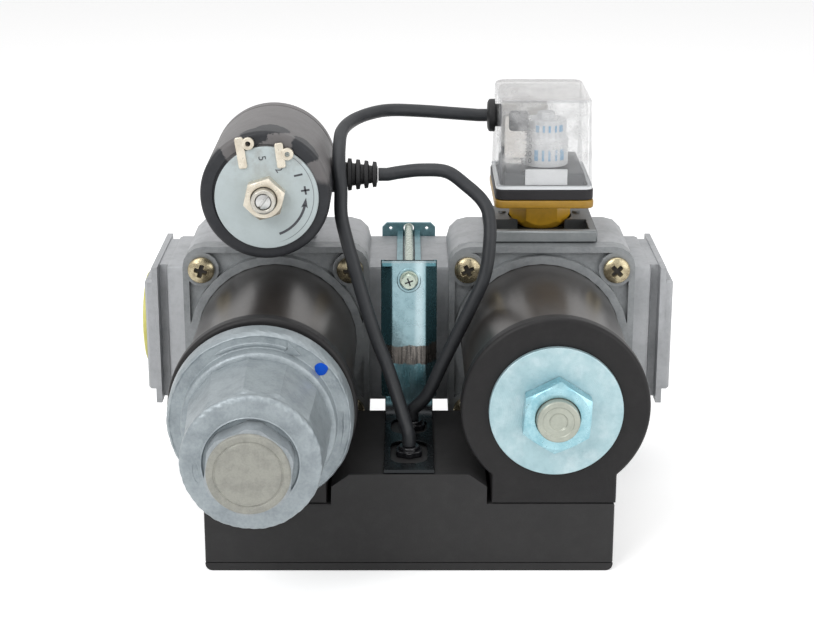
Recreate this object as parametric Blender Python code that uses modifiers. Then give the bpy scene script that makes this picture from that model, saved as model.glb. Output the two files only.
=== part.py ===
"""Double solenoid gas valve.

Two coil-operated shut-off valves sit in series in one die-cast body, over a shared terminal box. The
left one opens slowly through an oil damper. A small pilot solenoid and a pressure switch stand on top.

Lengths are metres. X runs along the pipe, -Y is the side that the coils face, +Z is up, and the origin
is the centre of the terminal box's underside. A height along a coil's axis counts forward, towards -Y,
from the front face of the casting.
"""

import math

import bmesh
import bpy
from mathutils import Euler, Matrix, Vector

# Fits
GAP = 0.0003
RUNNING_GAP = 0.0003
SHEET = 0.0015
LEFT_SIDE, RIGHT_SIDE = -1, 1
SIDE_NAMES = {LEFT_SIDE: "left", RIGHT_SIDE: "right"}

# Sides of round pieces: broad ones, most of them, and small or hidden ones
BROAD = 32
ROUND = 20
SMALL = 14
TINY = 8

# Directions in which a piece rises from its base point
UP = Euler((0, 0, 0))
FRONT = Euler((math.pi / 2, 0, 0))
RIGHT = Euler((math.pi / 2, 0, math.pi / 2))
LEFT = Euler((math.pi / 2, 0, -math.pi / 2))

# Coil stack, as heights forward of the casting
COIL_STACK = 0.100
COIL_PITCH = 0.120
BONNET_THICKNESS = 0.009
BONNET_FIELD = 0.006
BONNET_RIM = 0.0028
COLLAR_WALL = 0.0036
COLLAR_RISE = 0.001
SHELL_RADIUS = 0.036
SHELL_WALL = 0.0025
FRONT_RING_OVERHANG = 0.003
FRONT_RING_THICKNESS = 0.006
FRONT_RING_EDGE = 0.0015
SPIGOT_LENGTH = 0.006
FOOT_WIDTH = 0.052
FOOT_DEPTH = 0.030
TENON_WIDTH = 0.019
TENON_DEPTH = 0.011
TENON_LENGTH = 0.005

# Terminal box
BOX_WIDTH = 0.171
BOX_BACK_CLEARANCE = 0.001
BOX_COVER_THICKNESS = 0.0035
BOX_SHOULDER = 0.0305
BOX_WALL = 0.0025
BOX_CORNER_FLAT = 0.0005
RISE_HEIGHT = 0.013
RISE_CLEARANCE = 0.0017
RISE_EDGE_INSET = 0.0075
RISE_EDGE_DROP = 0.0055
RISE_DEPTH = 0.076
COVER_SCREW_RADIUS = 0.0032
COVER_SCREW_INSET = 0.009
COVER_SCREW_RECESS = 0.001
STRIP_LENGTH = 0.072
STRIP_DEPTH = 0.016
STRIP_HEIGHT = 0.012
STRIP_WAYS = 8

# Casting
BODY_DEPTH = 0.055
BAR_HEIGHT = 0.065
BAR_EDGE = 0.002
STATION_MARGIN = 0.006
STATION_EXTRA_HEIGHT = 0.004
STATION_CORNER = 0.0095
BAR_OVERHANG = 0.0088
NECK_LENGTH = 0.0036
NECK_DEPTH = 0.005
NECK_DROP = 0.0006
FLANGE_THICKNESS = 0.0026
FLANGE_LIP = 0.003
PAD_THICKNESS = 0.0035
PAD_HEIGHT = 0.0526
PAD_EDGE = 0.001

# Gas way through the casting
PORT_RADIUS = 0.01515
PORT_DEPTH = 0.0205
CHAMBER_RADIUS = 0.030
CHAMBER_DEPTH = 0.022
SEAT_RADIUS = 0.015
SEAT_LAND = 0.003
SEAT_RISE = 0.0015
SEAT_WALL = 0.007
REAR_CHAMBER_RADIUS = 0.020
REAR_WALL = 0.007
PASSAGE_RADIUS = 0.009

# Bonnet screws
SCREW_INSET_X = 0.0085
SCREW_INSET_Z = 0.0105
SCREW_CLEARANCE = 0.002
SCREW_RADIUS = 0.00285
SCREW_LENGTH = 0.024
SCREW_HEAD_RADIUS = 0.006
SCREW_HEAD_HEIGHT = 0.0036
SCREW_HOLE_CLEARANCE = 0.0003
BOSS_RADIUS = 0.008

# Core tube, armature and valve disc
TUBE_RADIUS = 0.0115
TUBE_WALL = 0.001
TUBE_FLANGE_RADIUS = 0.017
TUBE_FLANGE_THICKNESS = 0.002
CORE_LENGTH = 0.038
CORE_END_RADIUS = 0.0088
CORE_END_LENGTH = 0.0207
CORE_END_CHAMFER = 0.0008
CORE_DIMPLE_RADIUS = 0.003
CORE_DIMPLE_DEPTH = 0.0012
STROKE = 0.008
ARMATURE_TAIL = 0.004
STEM_RADIUS = 0.005
STEM_TIP_RADIUS = 0.003
DISC_RADIUS = 0.021
DISC_THICKNESS = 0.004
DISC_BOSS_RADIUS = 0.012
DISC_BOSS_RISE = 0.0015
SEAL_RADIUS = 0.019
SEAL_THICKNESS = 0.0014
SPRING_RADIUS = 0.0135
SPRING_WIRE = 0.0007
SPRING_TURNS = 4

# Washer and nut on the right coil
WASHER_RADIUS = 0.0275
WASHER_THICKNESS = 0.0025
NUT_FLATS = 0.027
NUT_HEIGHT = 0.008
NUT_TURN = math.radians(-3.5)
CAP_TURN = math.radians(28)

# Damper on the left coil
DAMPER_FLANGE_RADIUS = 0.038
DAMPER_FLANGE_THICKNESS = 0.009
DAMPER_STEP_RADIUS = 0.0312
DAMPER_STEP_RISE = 0.011
DAMPER_BARREL_BASE = 0.0288
DAMPER_BARREL_TOP = 0.0275
DAMPER_FLATS = 10
DAMPER_TURN = math.radians(-11)
DAMPER_LENGTH = 0.0597
DAMPER_RING_RADIUS = 0.0272
DAMPER_RING_LENGTH = 0.006
DAMPER_BORE_RADIUS = 0.015
DAMPER_BORE_FLOOR = 0.0017
ROD_RADIUS = 0.0024
ROD_CLEARANCE = 0.0005
PISTON_THICKNESS = 0.008
PISTON_BACK = 0.0035
CAP_FLATS = 0.030
CAP_HEX_HEIGHT = 0.0055
CAP_FACE_RADIUS = 0.0173
CAP_HEIGHT = 0.0098
CAP_SPIGOT = 0.007

# Front bracket and its clamp
BRACKET_FACE_Y = 0.033
BRACKET_FLAT = 0.0152
BRACKET_WIDTH = 0.025
BRACKET_SIDE_DEPTH = 0.007
BRACKET_TOP = 0.043
BRACKET_LIP = 0.0045
BRACKET_BEND = 0.006
FOOT_PLATE_WIDTH = 0.0212
CLAMP_RADIUS = 0.002
CLAMP_CLEARANCE = 0.0005
CLAMP_RISE = 0.0013
CLAMP_HEAD_FLATS = 0.007
CLAMP_HEAD_HEIGHT = 0.0028
CLAMP_WASHER_RADIUS = 0.00475
CLAMP_WASHER_THICKNESS = 0.0008
CLAMP_TAIL = 0.0035
REAR_PLATE_WIDTH = 0.0256
REAR_PLATE_DROP = 0.020
REAR_PLATE_RISE = 0.006
REAR_PLATE_CHAMFER = 0.0022
REAR_PLATE_HOLE = 0.0008
REAR_PLATE_THICKNESS = 0.002
ARM_SPACING = 0.0082
ARM_WIDTH = 0.0028
ARM_THICKNESS = 0.0016

# Glands in the bracket's foot
GLAND_PLACES = {"gland_front": (0.0, -0.0225), "gland_rear": (0.0015, 0.009)}
GLAND_RADIUS = 0.0045
GLAND_COLLAR_RADIUS = 0.0060
GLAND_COLLAR_HEIGHT = 0.0022
GLAND_HEIGHT = 0.0038
GLAND_NOSE_RADIUS = 0.0032
GLAND_WELL_WIDTH = 0.0156
GLAND_WELL_CORNER = 0.006
GLAND_WELLS = ((-0.0365, -0.011), (-0.0025, 0.0165))

# Pilot solenoid
PILOT_RISE = 0.0359
PILOT_RADIUS = 0.0273
PILOT_LENGTH = 0.0647
PILOT_BACK_Y = 0.005
PILOT_EDGE = 0.0018
PILOT_DISC_RADIUS = 0.0217
PILOT_DISC_THICKNESS = 0.0016
PILOT_DISC_RECESS = 0.0007
PILOT_DISC_HOLE = 0.0087
PILOT_NUT_FLATS = 0.014
PILOT_NUT_HEIGHT = 0.0066
PILOT_NUT_TURN = math.radians(-13)
SLEEVE_RADIUS = 0.0052
SLEEVE_BORE = 0.0040
SLEEVE_NOSE = 0.0050
SLEEVE_TAIL = 0.019
PILOT_STROKE = 0.002
PILOT_ARMATURE_LENGTH = 0.024
PILOT_SPRING_LENGTH = 0.0085
PILOT_SPRING_WIRE = 0.0004
REGULATOR_RADIUS = 0.00305
REGULATOR_LENGTH = 0.006
REGULATOR_SLOT = 0.0009
REGULATOR_SINK = 0.0005
PILOT_BLOCK_WIDTH = 0.036
PILOT_BLOCK_FRONT = 0.0055
PILOT_BLOCK_BACK = 0.045
PILOT_BLOCK_HEIGHT = 0.0082
PILOT_POST_DEPTH = 0.026
PILOT_POST_RADIUS = 0.019
BOOT_AHEAD = 0.020
BOOT_LUG_RADIUS = 0.0078
BOOT_CLEARANCE = 0.0027
BOOT_LENGTH = 0.0163
BOOT_ROOT_RADIUS = 0.0076
BOOT_TIP_RADIUS = 0.0052
BOOT_RIBS = 4
BOOT_GROOVE = 0.0018

# Pressure switch and its mounting block
BLOCK_WIDTH = 0.0504
BLOCK_FRONT = 0.003
BLOCK_DEPTH = 0.048
BLOCK_HEIGHT = 0.0055
BLOCK_WALL = 0.0036
BLOCK_POCKET_LENGTH = 0.0174
BLOCK_FLOOR = 0.0008
BLOCK_SCREW_RADIUS = 0.0019
BLOCK_SCREW_SPREAD = 0.0346
BLOCK_SCREW_RISE = 0.0007
SWITCH_SHIFT = 0.0011
SWITCH_CENTRE_DEPTH = 0.028
SWITCH_WIDTH = 0.045
SWITCH_DEPTH = 0.056
SWITCH_CORNER = 0.0045
SWITCH_BASE_RISE = 0.0153
SWITCH_BASE_THICKNESS = 0.0037
GASKET_THICKNESS = 0.0044
GASKET_WALL = 0.0035
NIPPLE_FLATS = 0.0246
NIPPLE_TIP_RADIUS = 0.0095
NIPPLE_CHAMFER = 0.004
THREAD_RADIUS = 0.0065
THREAD_LENGTH = 0.012
COVER_HEIGHT = 0.0410
COVER_WALL = 0.0018
COVER_INSET = 0.0007
COVER_DRAFT = 0.0011
COVER_TOP_EDGE = 0.0016
FRAME_HEIGHT = 0.0065
FRAME_STEP = 0.001
FRAME_CHEEK = 0.0115
FRAME_BACK_HEIGHT = 0.031
FRAME_BACK_DEPTH = 0.010
DIAL_RADIUS = 0.0103
DIAL_HEIGHT = 0.021
DIAL_AHEAD = 0.007
DIAL_HUB_RADIUS = 0.004
DIAL_HUB_HEIGHT = 0.003
DIAL_TURN_SLOT = 0.0014
GROMMET_RADIUS = 0.0075
GROMMET_LENGTH = 0.0040
GROMMET_NECK_RADIUS = 0.0052
GROMMET_RISE = 0.0287

# Transport plug in the left port
PLUG_RADIUS = 0.0215
PLUG_RIM = 0.0026
PLUG_DOME = 0.0042
PLUG_SPIGOT = 0.010
PLUG_WALL = 0.0018

# Leads
LEAD_RADIUS = 0.0029
LEAD_STEP = 0.013
LEAD_STRAIGHT = 0.004
SWITCH_LEAD_ROUTE = (
    (0.0197, 0.0820, 0.0538),
    (0.0059, 0.0800, 0.0552),
    (-0.0078, 0.0750, 0.0566),
    (-0.0167, 0.0670, 0.0568),
    (-0.0246, 0.0570, 0.0556),
    (-0.0293, 0.0450, 0.0534),
    (-0.0302, 0.0330, 0.0494),
    (-0.0301, 0.0230, 0.0428),
    (-0.0292, 0.0170, 0.0332),
    (-0.0290, 0.0130, 0.0232),
    (-0.0266, 0.0100, 0.0129),
    (-0.0236, 0.0080, 0.0024),
    (-0.0194, 0.0050, -0.0124),
    (-0.0138, 0.0010, -0.0291),
    (-0.0095, -0.0030, -0.0391),
    (-0.0052, -0.0095, -0.0506),
    (-0.0018, -0.0170, -0.0595),
)
PILOT_LEAD_ROUTE = (
    (-0.0031, 0.0350, 0.0370),
    (0.0056, 0.0340, 0.0381),
    (0.0165, 0.0320, 0.0377),
    (0.0252, 0.0290, 0.0321),
    (0.0316, 0.0260, 0.0266),
    (0.0346, 0.0230, 0.0207),
    (0.0350, 0.0190, 0.0105),
    (0.0329, 0.0150, -0.0041),
    (0.0273, 0.0130, -0.0171),
    (0.0209, 0.0120, -0.0305),
    (0.0144, 0.0110, -0.0439),
    (0.0079, 0.0100, -0.0575),
)

# Worked out from the sizes above
BOX_DEPTH = COIL_STACK - BONNET_THICKNESS - BOX_BACK_CLEARANCE
FRONT_Y = -BOX_DEPTH / 2
BODY_FRONT_Y = FRONT_Y + COIL_STACK
BODY_BACK_Y = BODY_FRONT_Y + BODY_DEPTH
PIPE_Y = BODY_FRONT_Y + BODY_DEPTH / 2
STATION_WIDTH = 2 * (SHELL_RADIUS + STATION_MARGIN)
STATION_HEIGHT = STATION_WIDTH + STATION_EXTRA_HEIGHT
LOW_SCREW_Z = BOX_SHOULDER + SCREW_CLEARANCE + SCREW_HEAD_RADIUS
AXIS_Z = LOW_SCREW_Z - SCREW_INSET_Z + STATION_HEIGHT / 2
BAR_TOP = AXIS_Z + BAR_HEIGHT / 2
STATION_TOP = AXIS_Z + STATION_HEIGHT / 2
FRONT_RING_RADIUS = SHELL_RADIUS + FRONT_RING_OVERHANG
RISE_TOP = BOX_SHOULDER + RISE_HEIGHT
RISE_WIDTH = COIL_PITCH - FOOT_WIDTH - 2 * RISE_CLEARANCE
RISE_TOP_WIDTH = RISE_WIDTH - 2 * RISE_EDGE_INSET
BAR_END_X = COIL_PITCH / 2 + STATION_WIDTH / 2 + BAR_OVERHANG
FLANGE_X = BAR_END_X + NECK_LENGTH
PAD_X = FLANGE_X + FLANGE_THICKNESS
PORT_X = PAD_X + PAD_THICKNESS
SHELL_TOP = COIL_STACK - FRONT_RING_THICKNESS
SHELL_BORE = SHELL_RADIUS - SHELL_WALL
SEAT_HEIGHT = SEAT_RISE - CHAMBER_DEPTH
DISC_BASE = SEAT_HEIGHT + 2 * GAP + SEAL_THICKNESS
DISC_TOP = DISC_BASE + DISC_THICKNESS
FLANGE_BACK = 2 * GAP
CORE_BACK = SHELL_TOP + GAP - CORE_LENGTH
ARMATURE_TOP = CORE_BACK - STROKE - GAP
CORE_END = SHELL_TOP + GAP + CORE_END_LENGTH
DAMPER_BASE = COIL_STACK + GAP
DAMPER_FLANGE_TOP = DAMPER_BASE + DAMPER_FLANGE_THICKNESS
DAMPER_FRONT = DAMPER_BASE + DAMPER_LENGTH
DAMPER_FLOOR = CORE_END + DAMPER_BORE_FLOOR
CLAMP_Z = BAR_TOP + CLAMP_RADIUS + CLAMP_RISE
BRACKET_Y = BODY_FRONT_Y - BRACKET_FACE_Y
PILOT_AXIS_Z = STATION_TOP + PILOT_RISE
PILOT_Y = BODY_FRONT_Y + PILOT_BACK_Y
BOOT_START = COIL_PITCH / 2 - PILOT_RADIUS - BOOT_CLEARANCE
SWITCH_X = COIL_PITCH / 2 + SWITCH_SHIFT
SWITCH_Y = BODY_FRONT_Y + SWITCH_CENTRE_DEPTH
BLOCK_BASE = STATION_TOP + GAP
BLOCK_TOP = BLOCK_BASE + BLOCK_HEIGHT
SWITCH_BASE_Z = STATION_TOP + SWITCH_BASE_RISE
GASKET_Z = SWITCH_BASE_Z + SWITCH_BASE_THICKNESS + GAP
COVER_Z = GASKET_Z + GASKET_THICKNESS + GAP

# Colour, roughness and metallic value of each finish
FINISHES = {
    "cast_aluminium": ((0.30, 0.31, 0.33), 0.45, 0.8),
    "zinc": ((0.42, 0.55, 0.58), 0.35, 0.9),
    "die_cast_zinc": ((0.36, 0.40, 0.42), 0.42, 0.8),
    "yellow_passivated": ((0.60, 0.46, 0.25), 0.30, 0.9),
    "dark_steel": ((0.10, 0.09, 0.085), 0.35, 0.8),
    "bright_steel": ((0.55, 0.55, 0.55), 0.25, 1.0),
    "spring_steel": ((0.35, 0.35, 0.36), 0.35, 1.0),
    "copper": ((0.55, 0.22, 0.10), 0.40, 0.9),
    "brass": ((0.60, 0.45, 0.20), 0.30, 1.0),
    "black_plastic": ((0.035, 0.035, 0.037), 0.45, 0.0),
    "grey_plastic": ((0.12, 0.13, 0.14), 0.50, 0.0),
    "white_plastic": ((0.75, 0.75, 0.73), 0.40, 0.0),
    "mustard_plastic": ((0.45, 0.24, 0.02), 0.40, 0.0),
    "yellow_plastic": ((0.70, 0.68, 0.16), 0.45, 0.0),
    "clear_plastic": ((0.85, 0.87, 0.88), 0.10, 0.0),
    "rubber": ((0.03, 0.03, 0.03), 0.70, 0.0),
    "pale_plate": ((0.55, 0.62, 0.62), 0.45, 0.0),
}


def clear_scene():
    """Remove every object, so that the script can run again in the same session."""
    for thing in list(bpy.data.objects):
        bpy.data.objects.remove(thing, do_unlink=True)


def make_collection(name):
    collection = bpy.data.collections.new(name)
    bpy.context.scene.collection.children.link(collection)
    return collection


def make_material(name, finish):
    """Make one Principled material with the colour, roughness and metallic value of a finish."""
    colour, roughness, metallic = FINISHES[finish]
    material = bpy.data.materials.new(name)
    material.use_nodes = True
    shader = material.node_tree.nodes["Principled BSDF"]
    shader.inputs["Base Color"].default_value = (*colour, 1.0)
    shader.inputs["Roughness"].default_value = roughness
    shader.inputs["Metallic"].default_value = metallic
    if finish == "clear_plastic":
        shader.inputs["Alpha"].default_value = 0.35
    return material


def place(name, mesh, where, facing, finish):
    """Link a mesh as a part or, with no finish, as a hidden cutter."""
    thing = bpy.data.objects.new(name, mesh)
    thing.location = where
    thing.rotation_euler = facing
    if finish:
        PARTS.objects.link(thing)
        mesh.materials.append(make_material(name, finish))
        mesh.shade_smooth()
        mesh.set_sharp_from_angle(angle=math.radians(32))
    else:
        CUTTERS.objects.link(thing)
        thing.hide_render = True
        thing.display_type = "WIRE"
    return thing


def mesh_from(name, work):
    mesh = bpy.data.meshes.new(name)
    work.to_mesh(mesh)
    work.free()
    return mesh


def block(name, low, high, finish=None, edge=0.0, steps=3, sharp=None):
    """A box between two corners. Its edges are rounded, apart from those on the side that sharp names.

    sharp is (axis index, end), such as (1, 0) for the side at the low Y end.
    """
    centre = (Vector(low) + Vector(high)) / 2
    size = Vector(high) - Vector(low)
    work = bmesh.new()
    bmesh.ops.create_cube(work, size=1.0, matrix=Matrix.Diagonal((*size, 1.0)))
    if edge:
        rounded = list(work.edges)
        if sharp:
            axis, end = sharp
            side = size[axis] * (end - 0.5)
            on_side = [e for e in work.edges if all(abs(v.co[axis] - side) < 1e-7 for v in e.verts)]
            rounded = [e for e in work.edges if e not in on_side]
        bmesh.ops.bevel(
            work, geom=rounded, offset=edge, segments=steps, profile=0.5, affect="EDGES", clamp_overlap=True
        )
    return place(name, mesh_from(name, work), centre, UP, finish)


def prism(name, radius, height, where, facing, finish=None, sides=SMALL, top=None, turn=0.0):
    """A cylinder, cone or regular prism that rises from a point in a direction."""
    work = bmesh.new()
    bmesh.ops.create_cone(
        work,
        cap_ends=True,
        segments=sides,
        radius1=radius,
        radius2=radius if top is None else top,
        depth=height,
        matrix=Matrix.Translation((0, 0, height / 2)) @ Matrix.Rotation(turn, 4, "Z"),
    )
    return place(name, mesh_from(name, work), where, facing, finish)


def hex_radius(flats):
    """Corner radius of a hexagon with this distance across its flats."""
    return flats / math.sqrt(3)


def turned(name, profile, where, facing, finish=None, steps=ROUND):
    """Turn a half section round its axis. profile lists (radius, height) points round the section.

    A section that reaches the axis starts and ends there. The points are put in the order that makes
    the faces point out.
    """
    pairs = zip(profile, profile[1:] + profile[:1])
    if sum(a[0] * b[1] - b[0] * a[1] for a, b in pairs) > 0:
        profile = profile[::-1]
    mesh = bpy.data.meshes.new(name)
    edges = [(i, i + 1) for i in range(len(profile) - 1)]
    if profile[0][0] > 0:
        edges.append((len(profile) - 1, 0))
    mesh.from_pydata([(radius, 0, height) for radius, height in profile], edges, [])
    thing = place(name, mesh, where, facing, finish)
    screw = thing.modifiers.new("Turn", "SCREW")
    screw.steps = screw.render_steps = steps
    screw.use_merge_vertices = True
    screw.merge_threshold = 1e-6
    screw.use_smooth_shade = True
    return thing


def ring(name, inner, outer, low, high, where, facing, finish=None, steps=ROUND):
    """A plain turned ring between two radii and two heights."""
    section = [(outer, low), (outer, high), (inner, high), (inner, low)]
    return turned(name, section, where, facing, finish, steps)


def arc(centre, radius, start, end, steps):
    """Points along an arc, from one angle to another, both in degrees."""
    angles = [math.radians(start + (end - start) * i / steps) for i in range(steps + 1)]
    return [(centre[0] + radius * math.cos(a), centre[1] + radius * math.sin(a)) for a in angles]


def rounded_rectangle(width, height, corner, steps=4):
    """Outline of a rectangle with round corners."""
    across, up = width / 2 - corner, height / 2 - corner
    points = []
    for sign_x, sign_y, start in ((1, 1, 0), (-1, 1, 90), (-1, -1, 180), (1, -1, 270)):
        points += arc((sign_x * across, sign_y * up), corner, start, start + 90, steps)
    return points


def curve_to_mesh(name, curve, weld=1e-6):
    """Make the mesh of a curve, with its caps welded on, and drop the curve."""
    guide = bpy.data.objects.new(name, curve)
    CUTTERS.objects.link(guide)
    bpy.context.view_layer.update()
    mesh = bpy.data.meshes.new_from_object(guide.evaluated_get(bpy.context.evaluated_depsgraph_get()))
    bpy.data.objects.remove(guide)
    bpy.data.curves.remove(curve)
    work = bmesh.new()
    work.from_mesh(mesh)
    bmesh.ops.remove_doubles(work, verts=work.verts, dist=weld)
    bmesh.ops.recalc_face_normals(work, faces=work.faces)
    work.to_mesh(mesh)
    work.free()
    return mesh


def plate(name, outlines, thickness, where, facing, finish=None):
    """Extrude flat outlines from a base point. Outlines inside another one are holes."""
    curve = bpy.data.curves.new(name, "CURVE")
    curve.dimensions = "2D"
    curve.fill_mode = "BOTH"
    curve.extrude = thickness / 2
    for outline in outlines:
        spline = curve.splines.new("POLY")
        spline.points.add(len(outline) - 1)
        for point, (x, y) in zip(spline.points, outline):
            point.co = (x, y, 0, 1)
        spline.use_cyclic_u = True
    mesh = curve_to_mesh(name, curve)
    mesh.transform(Matrix.Translation((0, 0, thickness / 2)))
    return place(name, mesh, where, facing, finish)


def tube_along(name, points, radius, finish, fineness=2):
    """A round wire or lead through points in world space."""
    curve = bpy.data.curves.new(name, "CURVE")
    curve.dimensions = "3D"
    curve.bevel_depth = radius
    curve.bevel_resolution = fineness
    curve.use_fill_caps = True
    spline = curve.splines.new("POLY")
    spline.points.add(len(points) - 1)
    for point, place_of_it in zip(spline.points, points):
        point.co = (*place_of_it, 1)
    return place(name, curve_to_mesh(name, curve), (0, 0, 0), UP, finish)


def boolean(thing, operation, *others):
    for other in others:
        modifier = thing.modifiers.new(other.name, "BOOLEAN")
        modifier.operation = operation
        modifier.object = other
        modifier.solver = "EXACT"
    return thing


def join(thing, *others):
    return boolean(thing, "UNION", *others)


def cut(thing, *others):
    return boolean(thing, "DIFFERENCE", *others)


def station(side):
    """Where a coil's axis meets the front face of the casting."""
    return (side * COIL_PITCH / 2, BODY_FRONT_Y, AXIS_Z)


def along(where, height):
    """The point that lies some height forward of another one."""
    return (where[0], where[1] - height, where[2])


def bonnet_screw_places():
    """Offsets of the four bonnet screws from a coil's axis."""
    across, up = STATION_WIDTH / 2 - SCREW_INSET_X, STATION_HEIGHT / 2 - SCREW_INSET_Z
    return [(x, z) for z in (up, -up) for x in (-across, across)]


def drill(name, start, end, radius):
    """A straight hole between two points."""
    reach = Vector(end) - Vector(start)
    return prism(name, radius, reach.length, start, reach.to_track_quat("Z", "Y").to_euler())


def valve_body():
    """The casting: a square pipe bar, two valve stations, end flanges, and the gas way inside."""
    half_bar, half_width = BAR_HEIGHT / 2, STATION_WIDTH / 2
    body = block(
        "valve_body",
        (-BAR_END_X, BODY_FRONT_Y, AXIS_Z - half_bar),
        (BAR_END_X, BODY_BACK_Y, AXIS_Z + half_bar),
        "cast_aluminium",
        BAR_EDGE,
        2,
    )
    for side, label in SIDE_NAMES.items():
        x = side * COIL_PITCH / 2
        housing = block(
            f"station_{label}",
            (x - half_width, BODY_FRONT_Y, AXIS_Z - STATION_HEIGHT / 2),
            (x + half_width, BODY_BACK_Y, STATION_TOP),
            edge=STATION_CORNER,
            steps=3,
            sharp=(1, 0),
        )
        join(body, housing, *end_flange(side, label))
    for side, label in SIDE_NAMES.items():
        cut(body, *gas_way(side, label), *screw_holes(side, label))
    cut(body, cross_passage(), switch_thread_hole())
    return body


def end_flange(side, label):
    """The neck, flange and port pad at one end of the bar."""
    half_bar = BAR_HEIGHT / 2
    spans = (
        (
            "neck",
            BAR_END_X - BAR_EDGE * 2,
            FLANGE_X + FLANGE_THICKNESS / 2,
            half_bar - NECK_DROP,
            -NECK_DEPTH,
            0,
        ),
        ("flange", FLANGE_X, PAD_X, half_bar, FLANGE_LIP, 0),
        ("pad", PAD_X - FLANGE_THICKNESS / 2, PORT_X, PAD_HEIGHT / 2, FLANGE_LIP - PAD_EDGE, PAD_EDGE),
    )
    pieces = []
    for kind, inner, outer, half_height, lip, edge in spans:
        ends = sorted((side * inner, side * outer))
        pieces.append(
            block(
                f"{kind}_{label}",
                (ends[0], BODY_FRONT_Y - lip, AXIS_Z - half_height),
                (ends[1], BODY_BACK_Y + lip, AXIS_Z + half_height),
                edge=edge,
                steps=1,
                sharp=(0, 0 if side > 0 else 1),
            )
        )
    return pieces


def gas_way(side, label):
    """The chambers of one station, turned about its coil's axis, and its port with the way to it."""
    rear_floor = REAR_WALL - BODY_DEPTH
    rear_top = -CHAMBER_DEPTH - SEAT_WALL
    seat_edge = SEAT_RADIUS + SEAT_LAND
    chambers = turned(
        f"chambers_{label}",
        [
            (0, 0.001),
            (CHAMBER_RADIUS, 0.001),
            (CHAMBER_RADIUS, -CHAMBER_DEPTH),
            (seat_edge, -CHAMBER_DEPTH),
            (seat_edge, SEAT_HEIGHT),
            (SEAT_RADIUS, SEAT_HEIGHT),
            (SEAT_RADIUS, rear_top),
            (REAR_CHAMBER_RADIUS, rear_top),
            (REAR_CHAMBER_RADIUS, rear_floor),
            (0, rear_floor),
        ],
        station(side),
        FRONT,
        steps=SMALL,
    )
    floor_x = side * (PORT_X - PORT_DEPTH)
    direction = RIGHT if side > 0 else LEFT
    port = prism(
        f"port_{label}", PORT_RADIUS, PORT_DEPTH * 2, (floor_x, PIPE_Y, AXIS_Z), direction, sides=BROAD
    )
    if side == LEFT_SIDE:
        mouth = BODY_FRONT_Y + CHAMBER_DEPTH * 0.6
        inner_x = side * (COIL_PITCH / 2 + CHAMBER_RADIUS * 0.75)
    else:
        mouth = BODY_BACK_Y - REAR_WALL - PASSAGE_RADIUS
        inner_x = side * (COIL_PITCH / 2 + REAR_CHAMBER_RADIUS * 0.8)
    outer = (floor_x + side * 0.002, PIPE_Y + (0.004 if side > 0 else 0), AXIS_Z)
    passage = drill(f"passage_{label}", (inner_x, mouth, AXIS_Z), outer, PASSAGE_RADIUS)
    return chambers, port, passage


def cross_passage():
    """The way from behind the first seat to the second station's front chamber."""
    start = (
        -COIL_PITCH / 2 + REAR_CHAMBER_RADIUS * 0.85,
        BODY_BACK_Y - REAR_WALL - PASSAGE_RADIUS * 0.9,
        AXIS_Z,
    )
    end = (COIL_PITCH / 2 - CHAMBER_RADIUS * 0.9, BODY_FRONT_Y + CHAMBER_DEPTH * 0.5, AXIS_Z)
    return drill("cross_passage", start, end, PASSAGE_RADIUS)


def screw_holes(side, label):
    """Blind holes for the bonnet screws."""
    x, y, z = station(side)
    radius = SCREW_RADIUS + SCREW_HOLE_CLEARANCE
    depth = SCREW_LENGTH - BONNET_THICKNESS + 0.0015
    return [
        prism(f"screw_hole_{label}_{i}", radius, depth * 2, (x + dx, y + depth, z + dz), FRONT, sides=TINY)
        for i, (dx, dz) in enumerate(bonnet_screw_places(), 1)
    ]


def switch_thread_hole():
    """The tapped hole under the pressure switch."""
    depth = THREAD_LENGTH + 0.001
    radius = THREAD_RADIUS + GAP
    return prism("thread_hole", radius, depth * 2, (SWITCH_X, SWITCH_Y, STATION_TOP - depth), UP)


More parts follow.
